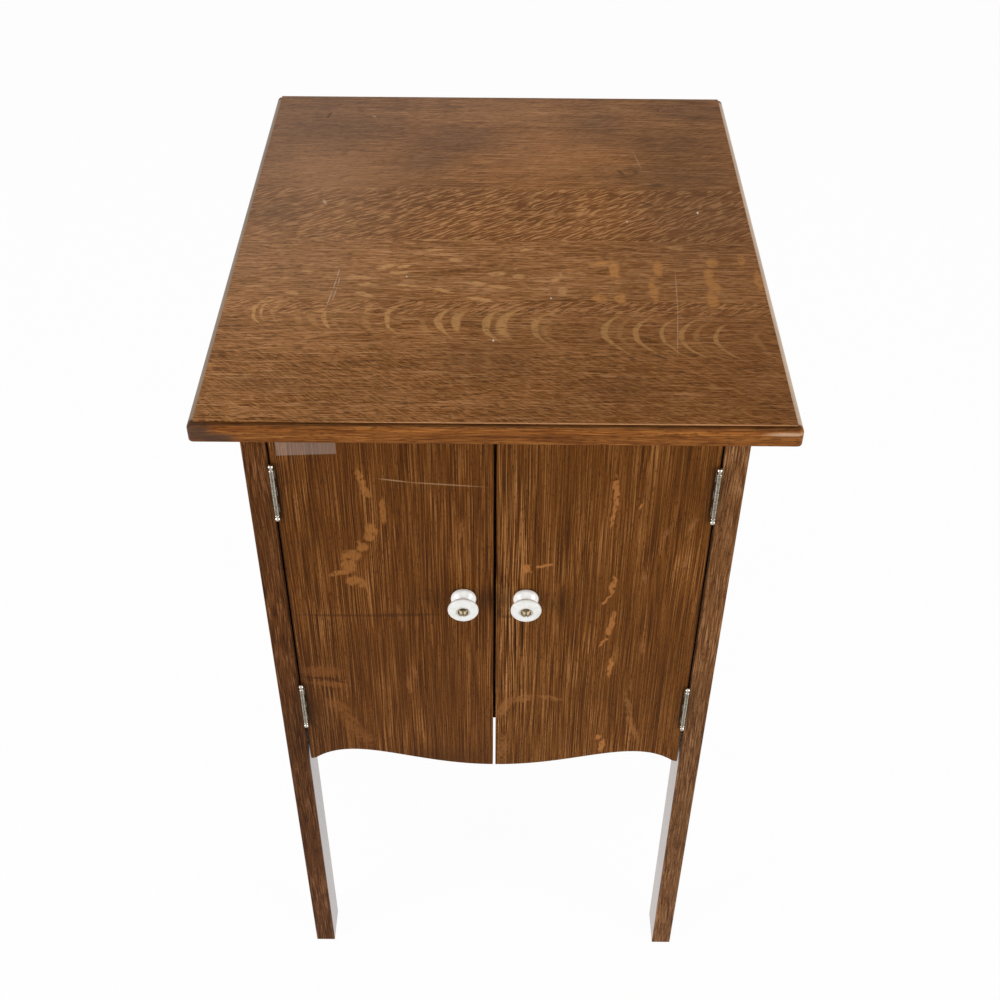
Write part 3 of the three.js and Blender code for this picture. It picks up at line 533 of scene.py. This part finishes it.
topLook = {
    "grain": "x", "seed": 3, "wander": 6, "streak": 0.32, "band": 0.35,
    "reedSize": 0.95, "reedLength": 30, "poreLength": 8,
    "colours": tones("#44240c", "#6c431e", "#87572c", "#a57245", "#c7966a"),
    "rayColour": "#bf8a59", "hollowColour": "#ddd0c4", "stain": 0.08, "bump": 0.2, "rough": 0.5,
    "shine": 0.04,
    "poreLimit": 0.56, "poreColour": "#40250f",
    "strips": (-300, -193, -137, -117, -11.7, 88),
    "reedStrips": (1.8, 1.8, 1.8, 1.8, 0.9, 1.5),
    "toneStrips": (0.01, 0.03, 0.03, 0.1, -0.03, 0.02),
    "poreStrips": (0.65, 0.6, 0.6, 0.55, 0.45, 0.45),
    "wavy": ((0.05, 0.05, 0.05), 5), "ragged": ((0.09, 0.09, 0.09), 4),
    "slant": 0.64, "slantBend": -0.0002, "slantCell": (1 / 15, 1 / 2.8, 1), "slantLimit": 0.53,
    "slantStrips": (0.0, 0.0, 0.75, 0.0, 0.72, 0.16),
    "levelCell": (1 / 10, 1 / 2.4, 1), "levelLimit": 0.55,
    "levelStrips": (0.15, 0.2, 0.2, 0.3, 0.0, 0.0),
    "fallCell": (1 / 11, 1 / 2.2, 1), "fallLimit": 0.52,
    "fallStrips": (0.34, 0.15, 0.15, 0.0, 0.0, 0.0),
    "arcBend": 0.021, "arcFall": -0.09, "arcMiddle": -153,
    "arcs": [
        (0.9, "#b98853", 0.6, [
            (-218, 0, 1.6, 24), (-211, 4, 1.4, 17), (-155, -6, 2.4, 13), (-98, 3, 2.4, 24),
            (-52, 2, 3.0, 24), (-37, 4, 4.0, 17), (-10, 0, 3.4, 23), (3.5, 2, 5.0, 22),
            (33, 0, 3.0, 22), (95, -2, 3.0, 28), (122, 0, 2.6, 30), (145, 0, 2.0, 30),
            (162, 0, 2.4, 30), (192, -3, 2.2, 26)]),
        (0.6, "#ad7c4b", 0.9, [
            (-200, 2, 1.8, 22), (-178, -7, 3.2, 9), (-165, -8, 3.4, 10), (-146, 2, 2.2, 22),
            (-118, -8, 3.4, 11), (-66, -10, 3.0, 12), (42, -2, 2.6, 25), (108, 0, 2.6, 30),
            (175, 0, 2.4, 28), (228, -5, 3.0, 22)]),
    ],
    "flecks": [
        (0.9, "#c0854b", 0.7, [
            (109, -63, 5, 19), (99, -50, 12, 4), (150, -57, 5, 14), (143, -95, 4.6, 22),
            (202, -47, 6, 8), (197, -68, 5, 10), (199, -85, 5.5, 13, 15), (196, -109, 5.5, 14),
            (230, -42, 4, 11), (242, -77, 4, 16), (112, -108, 5, 9), (93, -109, 7, 7)]),
        (0.8, "#c4915e", 0.6, [
            (-103, -58, 10, 2.8, 20), (-127, -76, 9, 3.0, -8), (-120, -89, 10, 3.0, -6),
            (-82, -90, 15, 2.7, -4), (-52, -97, 13, 2.6, -22), (-22, -85, 11, 3.4, -8),
            (3, -91, 12, 2.8, -12), (-15, -112, 13, 3.0, -16), (-120, -106, 11, 3.8, -30),
            (-91, -68, 10, 2.7, 6), (0, -69, 9, 3.4), (20, -73, 7, 4.4, 10), (56, -74, 4.4, 9, -30),
            (60, -98, 4.4, 8, -10), (-40, -45, 8, 3.4, 10), (170, -22, 10, 2.8, -6),
            (-88, -58, 6, 2.8, 20), (-66, -9.5, 9, 1.8), (-215, -62, 8, 2.4, 20),
            (-200, -78, 9, 2.4, -10), (-176, -66, 7, 2.2), (-222, -93, 9, 2.4, 8),
            (-186, -104, 8, 2.4, -14), (-60, -28, 9, 2.2, 10), (28, -26, 7, 2.2, 16)]),
    ],
    "clouds": [
        (0.36, "#463529", 1.6, [
            (-45, 190, 45, 30, 10), (-70, 150, 42, 22, 30), (185, 195, 55, 46), (185, 115, 66, 34),
            (110, 225, 34, 44), (215, 262, 50, 34), (200, 40, 60, 60)]),
        (0.14, "#463529", 1.6, [(-205, 240, 35, 45), (-160, 215, 40, 30, 20)]),
        (0.3, "#4a3220", 1.5, [(-15, -205, 40, 26, -10), (105, -245, 26, 18),
                               (-195, -240, 34, 14), (-220, 35, 24, 26, 40)]),
        (0.25, "#bb8355", 1.6, [(55, 165, 60, 45), (-190, 145, 40, 30),
                                (-150, 105, 60, 26), (10, 258, 46, 20)]),
        (0.22, "#ad8460", 1.6, [(-200, 30, 90, 190), (-190, -70, 80, 60)]),
    ],
    "haze": 0.3, "hazeColour": "#7c6f68", "hazeFrom": (-60, 540),
    "deepen": 0.5, "deepColour": "#5c320c", "deepFrom": (60, -540),
    "marks": [
        (0.55, "#3a281c", 0.9, [
            (142, 128, 3, 4), (126, 126, 2, 6, 30), (148, 62, 9, 2.4, -30), (162, 100, 7, 3),
            (176, 267, 1.3, 2.4), (193, 278, 1, 1.6), (-188, 250, 1.6, 7, -15),
            (32, -127, 4, 2, 20), (140, -198, 7, 1.6, -30)]),
        (0.5, "#cdb59c", 1.0, [
            (-148, -70, 0.5, 7, -4), (-149.3, -88, 0.5, 8, -5), (-152, -112, 0.5, 12, -7),
            (-146.2, -84, 0.45, 5, -4), (-148, -105, 0.45, 9, -6), (-174, 61, 1.5, 4.5, 20),
            (-138, 248, 3, 1, -40)]),
        (0.28, "#c9ad90", 1.0, [
            (164, -100, 0.5, 36, -3), (159.5, -160, 0.5, 34, -5), (145, 152, 0.5, 18, 10)]),
        (0.6, "#c8966a", 0.8, [(75, -291.1, 200, 0.7)]),
        (0.8, "#e0d3c0", 0.8, [
            (-84, -75, 0.7, 1.3), (-2.7, -176, 0.8, 1.5), (49, -109, 0.8, 1.2),
            (126.7, 27, 0.8, 1.3), (197.7, 45, 0.9, 2)]),
    ],
    "underside": 820.0, "thickness": 18.0, "edgeFrom": (837.65, 837.3), "frontFrom": (-286, -290),
    "backFrom": (294, 290), "rubbedFrom": (831.5, 834.0), "rubbed": 0.6, "sideColour": "#dccab4",
    "edgeReed": 1.1, "edgePores": 0.55, "edgeRough": 0.3,
    "edgeColours": tones("#33190a", "#5e3417", "#7d4b21", "#976230", "#b98655"),
    "edgeShade": [(0.0, 0.55), (0.06, 0.95), (0.58, 0.93), (0.66, 1.15), (0.78, 1.15), (0.85, 0.9),
                  (0.89, 0.5), (0.93, 0.3), (1.0, 0.55)],
    "edgeMarks": [
        (0.8, "#43342b", 1.0, [(-245, 829, 15, 8), (-228, 825, 16, 4)]),
        (0.5, "#cfb294", 1.3, [(238, 832.4, 16, 1.5)]),
    ],
}

print("materials")
topOak = topFinish("waxedOakTop", topLook)
leftDoorOak = oakFinish("stainedOakLeftDoor", leftDoorLook)
rightDoorOak = oakFinish("stainedOakRightDoor", rightDoorLook)
legOaks = {"left": oakFinish("stainedOakLeftLegs", leftLegLook),
           "right": oakFinish("stainedOakRightLegs", rightLegLook)}
sideOak = oakFinish("stainedOakSides", sideLook)
backOak = oakFinish("stainedOakBack", backLook)
insideOak = oakFinish("bareOakInside", insideLook)


def glazeFinish():
    # Glazed white porcelain: a clear gloss over a slightly warm white body, whiter at the foot and
    # faintly dirty in places
    material, add = startMaterial("glazedPorcelain")
    rest = add("TexCoord").outputs["Object"]
    dirt = add("TexNoise", {"Vector": rest, "Scale": 160.0, "Detail": 4.0, "Roughness": 0.6})
    stops = [(0.25, "#cfcec6"), (0.5, "#dddcd8"), (1.0, "#e2e2e0")]
    colour = add("ValToRGB", {0: dirt}, stops=stops)
    fromDoor = add("SeparateXYZ", {0: rest}).outputs[1]
    colour = mixed(add, ramped(add, fromDoor, -0.276, -0.271, 0.0, 0.85), colour, "#f4f4f1")
    wave = add("TexNoise", {"Vector": rest, "Scale": 90.0, "Detail": 1.0})
    bump = add("Bump", {"Height": wave, "Strength": 0.2, "Distance": 0.1 * mm})
    rough = ramped(add, dirt, 0.2, 0.8, 0.25, 0.14)
    showSurface(add, add("BsdfPrincipled", {
        "Base Color": colour, "Roughness": rough, "Normal": bump, "IOR": 1.5,
    }))
    return material


def metalFinish(name, look):
    # A plated or bare metal, rubbed bright on the high places and dull where dirt has stayed
    material, add = startMaterial(name)
    rest = add("TexCoord").outputs["Object"]
    wear = add("TexNoise", {
        "Vector": rest, "Scale": look["scale"], "Detail": 5.0, "Roughness": 0.65,
    })
    lines = noiseAt(add, rest, look["brush"], 3.0)
    both = add("Math", {0: lines, 1: 0.5, 2: wear}, operation="MULTIPLY_ADD")
    colour = add("ValToRGB", {0: both}, stops=look["colours"])
    place = add("VectorMath", {0: rest, 1: (1000, 1000, 1000)}, operation="MULTIPLY")
    split = add("SeparateXYZ", {0: place})
    if look.get("axis"):
        # a dull line down the front of each barrel
        out = add("Math", {0: split.outputs[0]}, operation="ABSOLUTE")
        off = add("Math", {0: out, 1: look["axis"]}, operation="SUBTRACT")
        off = add("Math", {0: off}, operation="ABSOLUTE")
        colour = mixed(add, ramped(add, off, 1.3, 0.3, 0.0, 0.6), colour, look["dull"])
    upright = add("CombineXYZ", {0: split.outputs[0], 1: split.outputs[2]})
    colour = laidOver(add, upright, colour, look.get("marks", []))
    rough = ramped(add, both, 0.55, 0.95, look["rough"][0], look["rough"][1])
    bump = add("Bump", {"Height": both, "Strength": look["bump"], "Distance": 0.15 * mm})
    showSurface(add, add("BsdfPrincipled", {
        "Base Color": colour, "Metallic": 1.0, "Roughness": rough, "Normal": bump,
    }))
    return material


porcelain = glazeFinish()
nickel = metalFinish("wornNickelPlate", {
    "scale": 600.0, "brush": (1100, 1100, 60), "rough": (0.34, 0.22), "bump": 0.12,
    "colours": [(0.45, "#6a6356"), (0.68, "#989080"), (0.92, "#bfb9aa")],
    "axis": 192.85, "dull": "#4a4439",
})
brightNickel = metalFinish("polishedNickelBall", {
    "scale": 400.0, "brush": (500, 500, 500), "rough": (0.2, 0.1), "bump": 0.08,
    "colours": [(0.45, "#6b655a"), (0.7, "#a29d91"), (0.92, "#cbc7bd")],
})
bronze = metalFinish("tarnishedBrassBolt", {
    "scale": 400.0, "brush": (400, 400, 400), "rough": (0.26, 0.16), "bump": 0.1,
    "colours": [(0.45, "#33271a"), (0.7, "#574630"), (0.95, "#7d694c")], "marks": [
        (0.75, "#a28c68", 0.5, [(-29.2, 607, 3.7, 3.7), (29.2, 607, 3.7, 3.7)]),
        (0.7, "#e0d6bc", 0.9, [
            (-30.8, 608.8, 1.1, 1.2), (-27.6, 608.8, 1.1, 1.2), (27.6, 608.8, 1.1, 1.2),
            (30.8, 608.8, 1.1, 1.2)]),
        (0.85, "#21170d", 0.6, [(-29.2, 607, 0.5, 4.6), (29.2, 607, 0.5, 4.6)]),
    ],
})
steel = metalFinish("dullSteel", {
    "scale": 400.0, "brush": (300, 300, 300), "rough": (0.5, 0.35), "bump": 0.3,
    "colours": [(0.4, "#4b4844"), (0.7, "#77736d"), (0.95, "#99958d")],
})


# The moulded top

top = {
    "thickness": 18, "fillet": 1.7, "quirk": 0.4, "round": 4.8, "ease": 0.6, "arris": 0.4,
    "flatCorner": 1.5, "lipCorner": 5.0, "backArris": 0.3,
}


def mouldedTop():
    # profile points are [distance out from the flat, height]; each is carried round a plan whose
    # corner radius grows from the flat to the lip, and whose back stays square
    low, high = (np.array(corner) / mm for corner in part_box("top_board"))
    shoulder = top["thickness"] - top["fillet"]
    lip = top["quirk"] + top["round"]
    profile = np.array(
        arc((-top["arris"], top["thickness"] - top["arris"]), top["arris"], 90, 0, 6)
        + [(0, shoulder + 0.3), (0, shoulder), (top["quirk"], shoulder)]
        + arc((top["quirk"], shoulder - top["round"]), top["round"], 88, 0, 14)
        + [(lip, 0.5 * shoulder), (lip, 1.6 * top["ease"])]
        + arc((lip - top["ease"], top["ease"]), top["ease"], 0, -90, 6)
    )
    out, height = profile[:, :1], profile[:, 1:]
    share = np.clip(out / lip, 0, 1)
    radius = top["flatCorner"] + (top["lipCorner"] - top["flatCorner"]) * share
    half = high[0] - lip + out
    front = low[1] + lip - out
    rounding = top["backArris"]
    over = np.maximum(height - (top["thickness"] - rounding), rounding - height)
    back = high[1] - rounding + np.sqrt(rounding ** 2 - np.clip(over, 0, rounding) ** 2)
    angle = np.radians(np.linspace(180, 270, 9))[None, :]
    leftX, leftY = -half + radius + radius * np.cos(angle), front + radius + radius * np.sin(angle)
    across = half * np.linspace(-1, 1, 12)[None, 1:-1]
    x = [half, across[:, ::-1], -half, leftX, across, -leftX[:, ::-1]]
    y = [back, back + 0 * across, back, leftY, front + 0 * across, leftY[:, ::-1]]
    x, y = np.concatenate(x, 1), np.concatenate(y, 1)
    rings = np.stack([x, y, height + low[2] + 0 * x], -1)
    caps = [rings[:1] * (scale, scale, 1) for scale in (0.0, 0.5)]
    feet = [rings[-1:] * (scale, scale, 1) for scale in (0.5, 0.0)]
    rings = np.concatenate(caps + [rings] + feet)
    return rings.reshape(-1, 3) * mm, gridQuads(*rings.shape[:2], closeColumns=True)


makePiece("mouldedTop", [mouldedTop()], topOak, "cabinet", "top_board")
print("top")


# Legs, rails and panels

carcass = {"legArris": 1.0, "railArris": 0.4, "panelArris": 0.3}


def addBoard(name, low, high, finish, slotName, node, arris, bend=None):
    points, quads = board(low, high, arris * mm)
    if bend:
        points = bend(points)
    makePiece(name, [(points, quads)], finish, "cabinet", node)


for side in sides:
    frontLow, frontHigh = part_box(f"front_leg_{side}")
    rearLow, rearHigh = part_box(f"rear_leg_{side}")
    for end, low, high in (("front", frontLow, frontHigh), ("rear", rearLow, rearHigh)):
        addBoard(f"{end}Leg.{side}", low, high, legOaks[side], "oak", f"{end}_leg_{side}",
                 carcass["legArris"])
    for level in ("top", "bottom"):
        node = f"side_{level}_rail_{side}"
        low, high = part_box(node)
        low.y, high.y = frontHigh.y, rearLow.y
        addBoard(f"side{level.title()}Rail.{side}", low, high, sideOak, "oak", node,
                 carcass["railArris"])
    node = f"side_panel_{side}"
    addBoard(f"sidePanel.{side}", *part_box(node), sideOak, "oak", node, carcass["panelArris"])

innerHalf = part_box("rear_leg_right")[0].x
for level in ("top", "bottom"):
    node = f"back_{level}_rail"
    low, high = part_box(node)
    low.x, high.x = -innerHalf, innerHalf
    addBoard(f"back{level.title()}Rail", low, high, backOak, "oak", node, carcass["railArris"])
addBoard("backPanel", *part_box("back_panel"), backOak, "oak", "back_panel", carcass["panelArris"])
print("carcass")


# Inside

inside = {
    "arris": 0.6, "hollow": 14, "hollowMargin": 60, "hollowHandle": 36,
    "partitions": 5, "cleatScrews": 3, "cleatScrewInset": 50,
    "screwHead": 3.6, "screwDepth": 1.0, "screwDome": 0.2, "screwSlot": 0.6, "screwSlotDepth": 0.5,
    "screwTurn": 35,
}

low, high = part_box("front_top_rail")
low.x, high.x = -innerHalf, innerHalf
addBoard("frontTopRail", low, high, insideOak, "inside_wood", "front_top_rail", inside["arris"])
for name, node in (("bottomBoard", "bottom_board"), ("partitionHeadBoard", "partition_head_board")):
    addBoard(name, *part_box(node), insideOak, "inside_wood", node, inside["arris"])


def hollowedFront(low, high, points):
    # the front edge is drawn back by a Bezier hollow in z, fading to nothing at the back edge. Its
    # inner points stand 4/3 of the depth out, so that it is as deep as that at its middle
    margin, depth = inside["hollowMargin"] * mm, inside["hollow"] * 4 / 3 * mm
    reach = margin + inside["hollowHandle"] * mm
    curve = bezier((high.z - margin, 0), (high.z - reach, depth),
                   (low.z + reach, depth), (low.z + margin, 0))[::-1]
    back = (high.y - points[:, 1]) / (high.y - low.y)
    points[:, 1] += np.interp(points[:, 2], curve[:, 0], curve[:, 1]) * back
    return points


for index in range(1, inside["partitions"] + 1):
    node = f"record_partition_{index}"
    low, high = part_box(node)
    addBoard(f"recordPartition.{index}", low, high, insideOak, "inside_wood", node, inside["arris"],
             bend=partial(hollowedFront, low, high))

for side, sign in sides.items():
    for level in ("lower", "upper"):
        node = f"{level}_cleat_{side}"
        low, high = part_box(node)
        face = high.x if sign < 0 else low.x
        low.x, high.x = sorted((sign * innerHalf, face))
        addBoard(f"{level}Cleat.{side}", low, high, insideOak, "inside_wood", node, inside["arris"])
        inset = inside["cleatScrewInset"] * mm
        spots = np.linspace(low.y + inset, high.y - inset, inside["cleatScrews"])
        head = slottedHead(inside["screwHead"], inside["screwDepth"], inside["screwDome"],
                           inside["screwSlot"], inside["screwSlotDepth"], inside["screwTurn"])
        middle = (low.z + high.z) / 2
        heads = [placed(head, (face, y, middle), "-x" if sign > 0 else "x") for y in spots]
        makePiece(f"{level}CleatScrews.{side}", heads, steel, "cabinet")
print("inside")


# Doors

door = {
    "arris": 0.8, "trough": 352.2, "crest": 376.2, "crestInset": 47, "lobe": 360, "lobeInset": 3,
    "lobeRise": 2, "rise": 38, "fall": 62, "hook": 30, "tuck": 3, "gridStep": 4,
}


def shapedFoot(side, low, high, points):
    # heights are drawn towards the shaped lower edge: a lobe, a crest and a long fall, two Beziers
    width = (high.x - low.x) / mm
    crest = door["crestInset"]
    lobe = bezier((0, door["lobe"] + door["lobeRise"]), (0, door["lobe"]), (0, door["lobe"]),
                  (door["lobeInset"], door["lobe"]), 8)
    short = bezier((door["lobeInset"], door["lobe"]),
                   (door["lobeInset"] + door["tuck"], door["lobe"]),
                   (crest - door["hook"], door["crest"]), (crest, door["crest"]))
    long = bezier((crest, door["crest"]), (crest + door["rise"], door["crest"]),
                  (width - door["fall"], door["trough"]), (width, door["trough"]))
    edge = np.concatenate([lobe, short[1:], long[1:]]) * mm
    fromHinge = points[:, 0] - low.x if side == "left" else high.x - points[:, 0]
    foot = np.interp(fromHinge, edge[:, 0], edge[:, 1])
    points[:, 2] = high.z - (high.z - points[:, 2]) * (high.z - foot) / (high.z - low.z)
    return points


for side, finish in (("left", leftDoorOak), ("right", rightDoorOak)):
    low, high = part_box(f"door_{side}")
    points, quads = board(low, high, door["arris"] * mm, door["gridStep"] * mm)
    points = shapedFoot(side, low, high, points)
    makePiece(f"shapedDoor.{side}", [(points, quads)], finish, f"{side}_door",
              f"door_{side}")
print("doors")


# Ball-tipped hinges

hinge = {
    "length": 50, "knuckles": 5, "knuckleGap": 0.3, "knuckle": 2.2, "knuckleEase": 0.25,
    "bore": 1.2, "pin": 1.12, "leafThickness": 1.3, "leafGap": 1.7, "leafWidth": 16,
    "leafArris": 0.2,
    "standOff": 3.0, "tongueFrom": 0.2, "tongueTo": 4.2, "tongueArris": 0.15,
    "ball": 2.65, "bead": 2.45, "beadHeight": 1.7, "neck": 1.7, "neckHeight": 1.35, "neckEase": 0.2,
    "screwInset": 11, "screwHead": 2.1, "screwDepth": 0.8, "screwDome": 0.06, "screwSlot": 0.5,
    "screwSlotDepth": 0.4, "screwTurn": 20,
}


def knuckle(middle, height):
    # a short tube with eased ends, turned about the pin
    r, ease, z = hinge["knuckle"], hinge["knuckleEase"], height / 2
    return turned(
        [(hinge["bore"], middle - z)] + arc((r - ease, middle - z + ease), ease, -90, 0, 4)
        + arc((r - ease, middle + z - ease), ease, 0, 90, 4)
        + [(hinge["bore"], middle + z), (hinge["bore"], middle - z)], 28)


def hingeLeaf(side, isFrame, axis):
    sign = sides[side] if isFrame else -sides[side]
    pitch = hinge["length"] / hinge["knuckles"]
    near = sign * hinge["leafGap"] / 2
    far = sign * (hinge["leafGap"] / 2 + hinge["leafThickness"])
    left, right = min(near, far), max(near, far)
    shapes = []
    for index in range(hinge["knuckles"]):
        if (index % 2 == 0) == isFrame:
            middle = -hinge["length"] / 2 + (index + 0.5) * pitch
            shapes.append(placed(knuckle(middle, pitch - hinge["knuckleGap"]), axis))
            # the tongue that runs from the plate round into this knuckle
            half = (pitch - hinge["knuckleGap"]) / 2
            tongue = board((left, hinge["tongueFrom"], middle - half),
                           (right, hinge["tongueTo"], middle + half), hinge["tongueArris"], 4)
            shapes.append(placed(tongue, axis))
    reach = hinge["knuckle"] + hinge["knuckleGap"]
    width, half = hinge["standOff"] + hinge["leafWidth"], hinge["length"] / 2
    plate = board((left, reach, -half), (right, width, half), hinge["leafArris"], 8)
    shapes.append(placed(plate, axis))
    head = slottedHead(hinge["screwHead"], hinge["screwDepth"], hinge["screwDome"],
                       hinge["screwSlot"], hinge["screwSlotDepth"], hinge["screwTurn"])
    for offset in (-1, 1):
        up = offset * (hinge["length"] / 2 - hinge["screwInset"])
        place = np.array(axis) + np.array((near, width - hinge["leafWidth"] / 2, up)) * mm
        shapes.append(placed(head, place, "-x" if sign > 0 else "x"))
    return shapes


def hingePin():
    # the pin, and at each end a bead, a neck and a ball
    def tip(sign):
        base = hinge["length"] / 2 + hinge["knuckleGap"] / 2
        neckTop = base + hinge["beadHeight"] + hinge["neckHeight"]
        first = math.asin(hinge["neck"] / hinge["ball"])
        ball = neckTop + hinge["ball"] * math.cos(first)
        points = [(hinge["pin"], base - 1), (hinge["pin"], base)]
        roundness = hinge["beadHeight"] / 2
        points += arc((hinge["bead"] - roundness, base + roundness), roundness, -90, 90, 9)
        points += [(hinge["neck"], base + hinge["beadHeight"]),
                   (hinge["neck"], neckTop - hinge["neckEase"])]
        points += arc((0, ball), hinge["ball"], math.degrees(first) - 90, 90, 14)
        return [(r if r > 1e-6 else 0, sign * z) for r, z in points]
    return turned(tip(-1)[::-1] + tip(1), 32)


for side in sides:
    for level in ("upper", "lower"):
        low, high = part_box(f"hinge_pin_{level}_{side}")
        axis = (low + high) / 2
        name = f"{level}.{side}"
        frameLeaf, doorLeaf = (hingeLeaf(side, isFrame, axis) for isFrame in (True, False))
        makePiece(f"hingeFrameLeaf.{name}", frameLeaf, nickel, "cabinet",
                  f"hinge_frame_leaf_{level}_{side}")
        makePiece(f"hingeDoorLeaf.{name}", doorLeaf, nickel, f"{side}_door",
                  f"hinge_door_leaf_{level}_{side}")
        makePiece(f"hingePin.{name}", [placed(hingePin(), axis)], brightNickel, "cabinet",
                  f"hinge_pin_{level}_{side}")
print("hinges")


# Porcelain knobs and their bolts

knob = {
    # [radius, distance from the door] down the front and back of the turned form
    "profile": [
        (9.9, 0.0), (11.3, 1.1), (11.9, 3.0), (11.3, 5.0), (9.7, 6.8), (8.0, 8.3), (7.3, 10.0),
        (7.6, 11.9), (9.5, 13.7), (12.7, 15.1), (14.0, 16.0), (14.35, 17.3), (14.0, 18.5),
        (12.7, 19.4), (10.0, 20.3), (7.4, 20.5), (5.7, 20.0)],
    "bore": 2.3, "seat": 20.0, "bolt": 2.0, "boltEase": 0.5, "boltEnd": 28.2, "boltHead": 4.9,
    "boltDepth": 1.2, "boltDome": 2.3, "boltSlot": 1.0, "boltSlotDepth": 0.9,
    "slotTurn": {"left": -5, "right": 4},
}

for side, angle in knob["slotTurn"].items():
    low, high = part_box(f"knob_{side}")
    foot = ((low.x + high.x) / 2, high.y, (low.z + high.z) / 2)
    bore, seat, bolt, end = knob["bore"], knob["seat"], knob["bolt"], -knob["boltEnd"]
    profile = smoothLine(knob["profile"], 5).tolist()
    form = turned([(bore, 0)] + profile + [(bore, seat), (bore, 0)], 72)
    makePiece(f"porcelainKnob.{side}", [placed(form, foot, "-y")], porcelain, f"{side}_door",
              f"knob_{side}")
    shank = turned([(0, end), (bolt - knob["boltEase"], end), (bolt, end + knob["boltEase"]),
                    (bolt, seat), (0, seat)], 24)
    head = slottedHead(knob["boltHead"], knob["boltDepth"], knob["boltDome"], knob["boltSlot"],
                       knob["boltSlotDepth"], angle)
    under = np.array(foot) - np.array((0, seat + knob["boltDepth"], 0)) * mm
    shapes = [placed(shank, foot, "-y"), placed(head, under, "-y")]
    makePiece(f"slottedBolt.{side}", shapes, bronze, f"{side}_door", f"knob_bolt_{side}")
print("knobs")

# the nuts, washers and top screws keep their solids, in steel
for name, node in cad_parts.items():
    if name.startswith(("knob_nut", "knob_washer", "top_screw")):
        node.data.materials.clear()
        node.data.materials.append(steel)


# Floor, light and camera

studio = {
    # metres, and watts of the lamps
    "floorReach": 6, "floorColour": "#e6e6e6", "floorLift": 0.967, "worldFill": 0.45,
    "lamps": {
        "softboxLeft": ((-2.0, -1.5, 1.0), (0, 0, 0.6), (0.9, 1.2), 34),
        "softboxRight": ((2.0, -1.5, 1.0), (0, 0, 0.6), (0.9, 1.2), 31),
        "softboxAbove": ((0.0, -0.5, 3.2), (0, 0, 0.8), (1.8, 1.8), 20),
    },
}


def seenRays(add):
    # 1 for a ray of the camera, of a reflection or through glass, and 0 for the light on the object
    rays = add("LightPath").outputs
    seen = 0.0
    for kind in ("Is Camera Ray", "Is Glossy Ray", "Is Transmission Ray"):
        seen = add("Math", {0: seen, 1: rays[kind]}, operation="MAXIMUM")
    return seen


def stageFinish():
    # a pale floor that the camera and reflections see as white, with the object's shadow kept faint
    material, add = startMaterial("paleFloor")
    lift = product(add, seenRays(add), studio["floorLift"])
    diffuse = add("BsdfDiffuse", {"Color": linear(studio["floorColour"])})
    white = add("Emission", {"Color": (1, 1, 1, 1), "Strength": 1.0})
    showSurface(add, add("MixShader", {0: lift, 1: diffuse, 2: white}))
    return material


floorMesh = bpy.data.meshes.new("paleFloor")
reach = studio["floorReach"]
corners = [(-reach, -reach, 0), (reach, -reach, 0), (reach, reach, 0), (-reach, reach, 0)]
floorMesh.from_pydata(corners, [], [(0, 1, 2, 3)])
floorMesh.materials.append(stageFinish())
floor = bpy.data.objects.new("paleFloor", floorMesh)
bpy.context.scene.collection.objects.link(floor)

world = bpy.data.worlds.new("paleRoom")
bpy.context.scene.world = world
world.use_nodes = True
world.node_tree.nodes.clear()
add = partial(addNode, world.node_tree)
fill = add("Background", {"Color": (1, 1, 1, 1), "Strength": studio["worldFill"]})
white = add("Background", {"Color": (1, 1, 1, 1), "Strength": 1.0})
add("OutputWorld", {"Surface": add("MixShader", {0: seenRays(add), 1: fill, 2: white})})


def addLamp(name, place, aim, size, power):
    data = bpy.data.lights.new(name, "AREA")
    data.shape = "RECTANGLE"
    data.size, data.size_y = size
    data.energy = power
    lamp = bpy.data.objects.new(name, data)
    away = np.array(place, float) - np.array(aim, float)
    away /= np.linalg.norm(away)
    right = np.cross((0, 0, 1), away)
    right /= np.linalg.norm(right)
    turn = Matrix(np.array([right, np.cross(away, right), away]).T.tolist()).to_4x4()
    lamp.matrix_world = Matrix.Translation(place) @ turn
    bpy.context.scene.collection.objects.link(lamp)


for name, (place, aim, size, power) in studio["lamps"].items():
    addLamp(name, place, aim, size, power)

# place and lenses in millimetres, angles in degrees
view = {
    "place": (5.6, -1161.7, 1533.3), "down": 41.818, "turn": 0.086, "lean": -0.42,
    "lens": 49.45, "sensor": 36,
}


def addCamera():
    # solved from the photograph: looks along +Y, tipped down, with a slight turn and lean
    data = bpy.data.cameras.new("photoView")
    data.sensor_width = view["sensor"]
    data.lens = view["lens"]
    camera = bpy.data.objects.new("photoView", data)
    turn = Matrix.Rotation(math.radians(view["turn"]), 4, "Z")
    tip = Matrix.Rotation(math.radians(90 - view["down"]), 4, "X")
    lean = Matrix.Rotation(math.radians(-view["lean"]), 4, "Z")
    camera.matrix_world = Matrix.Translation(np.array(view["place"]) * mm) @ turn @ tip @ lean
    bpy.context.scene.collection.objects.link(camera)
    bpy.context.scene.camera = camera


addCamera()
bpy.context.scene.view_settings.view_transform = "Standard"
print("light and camera")
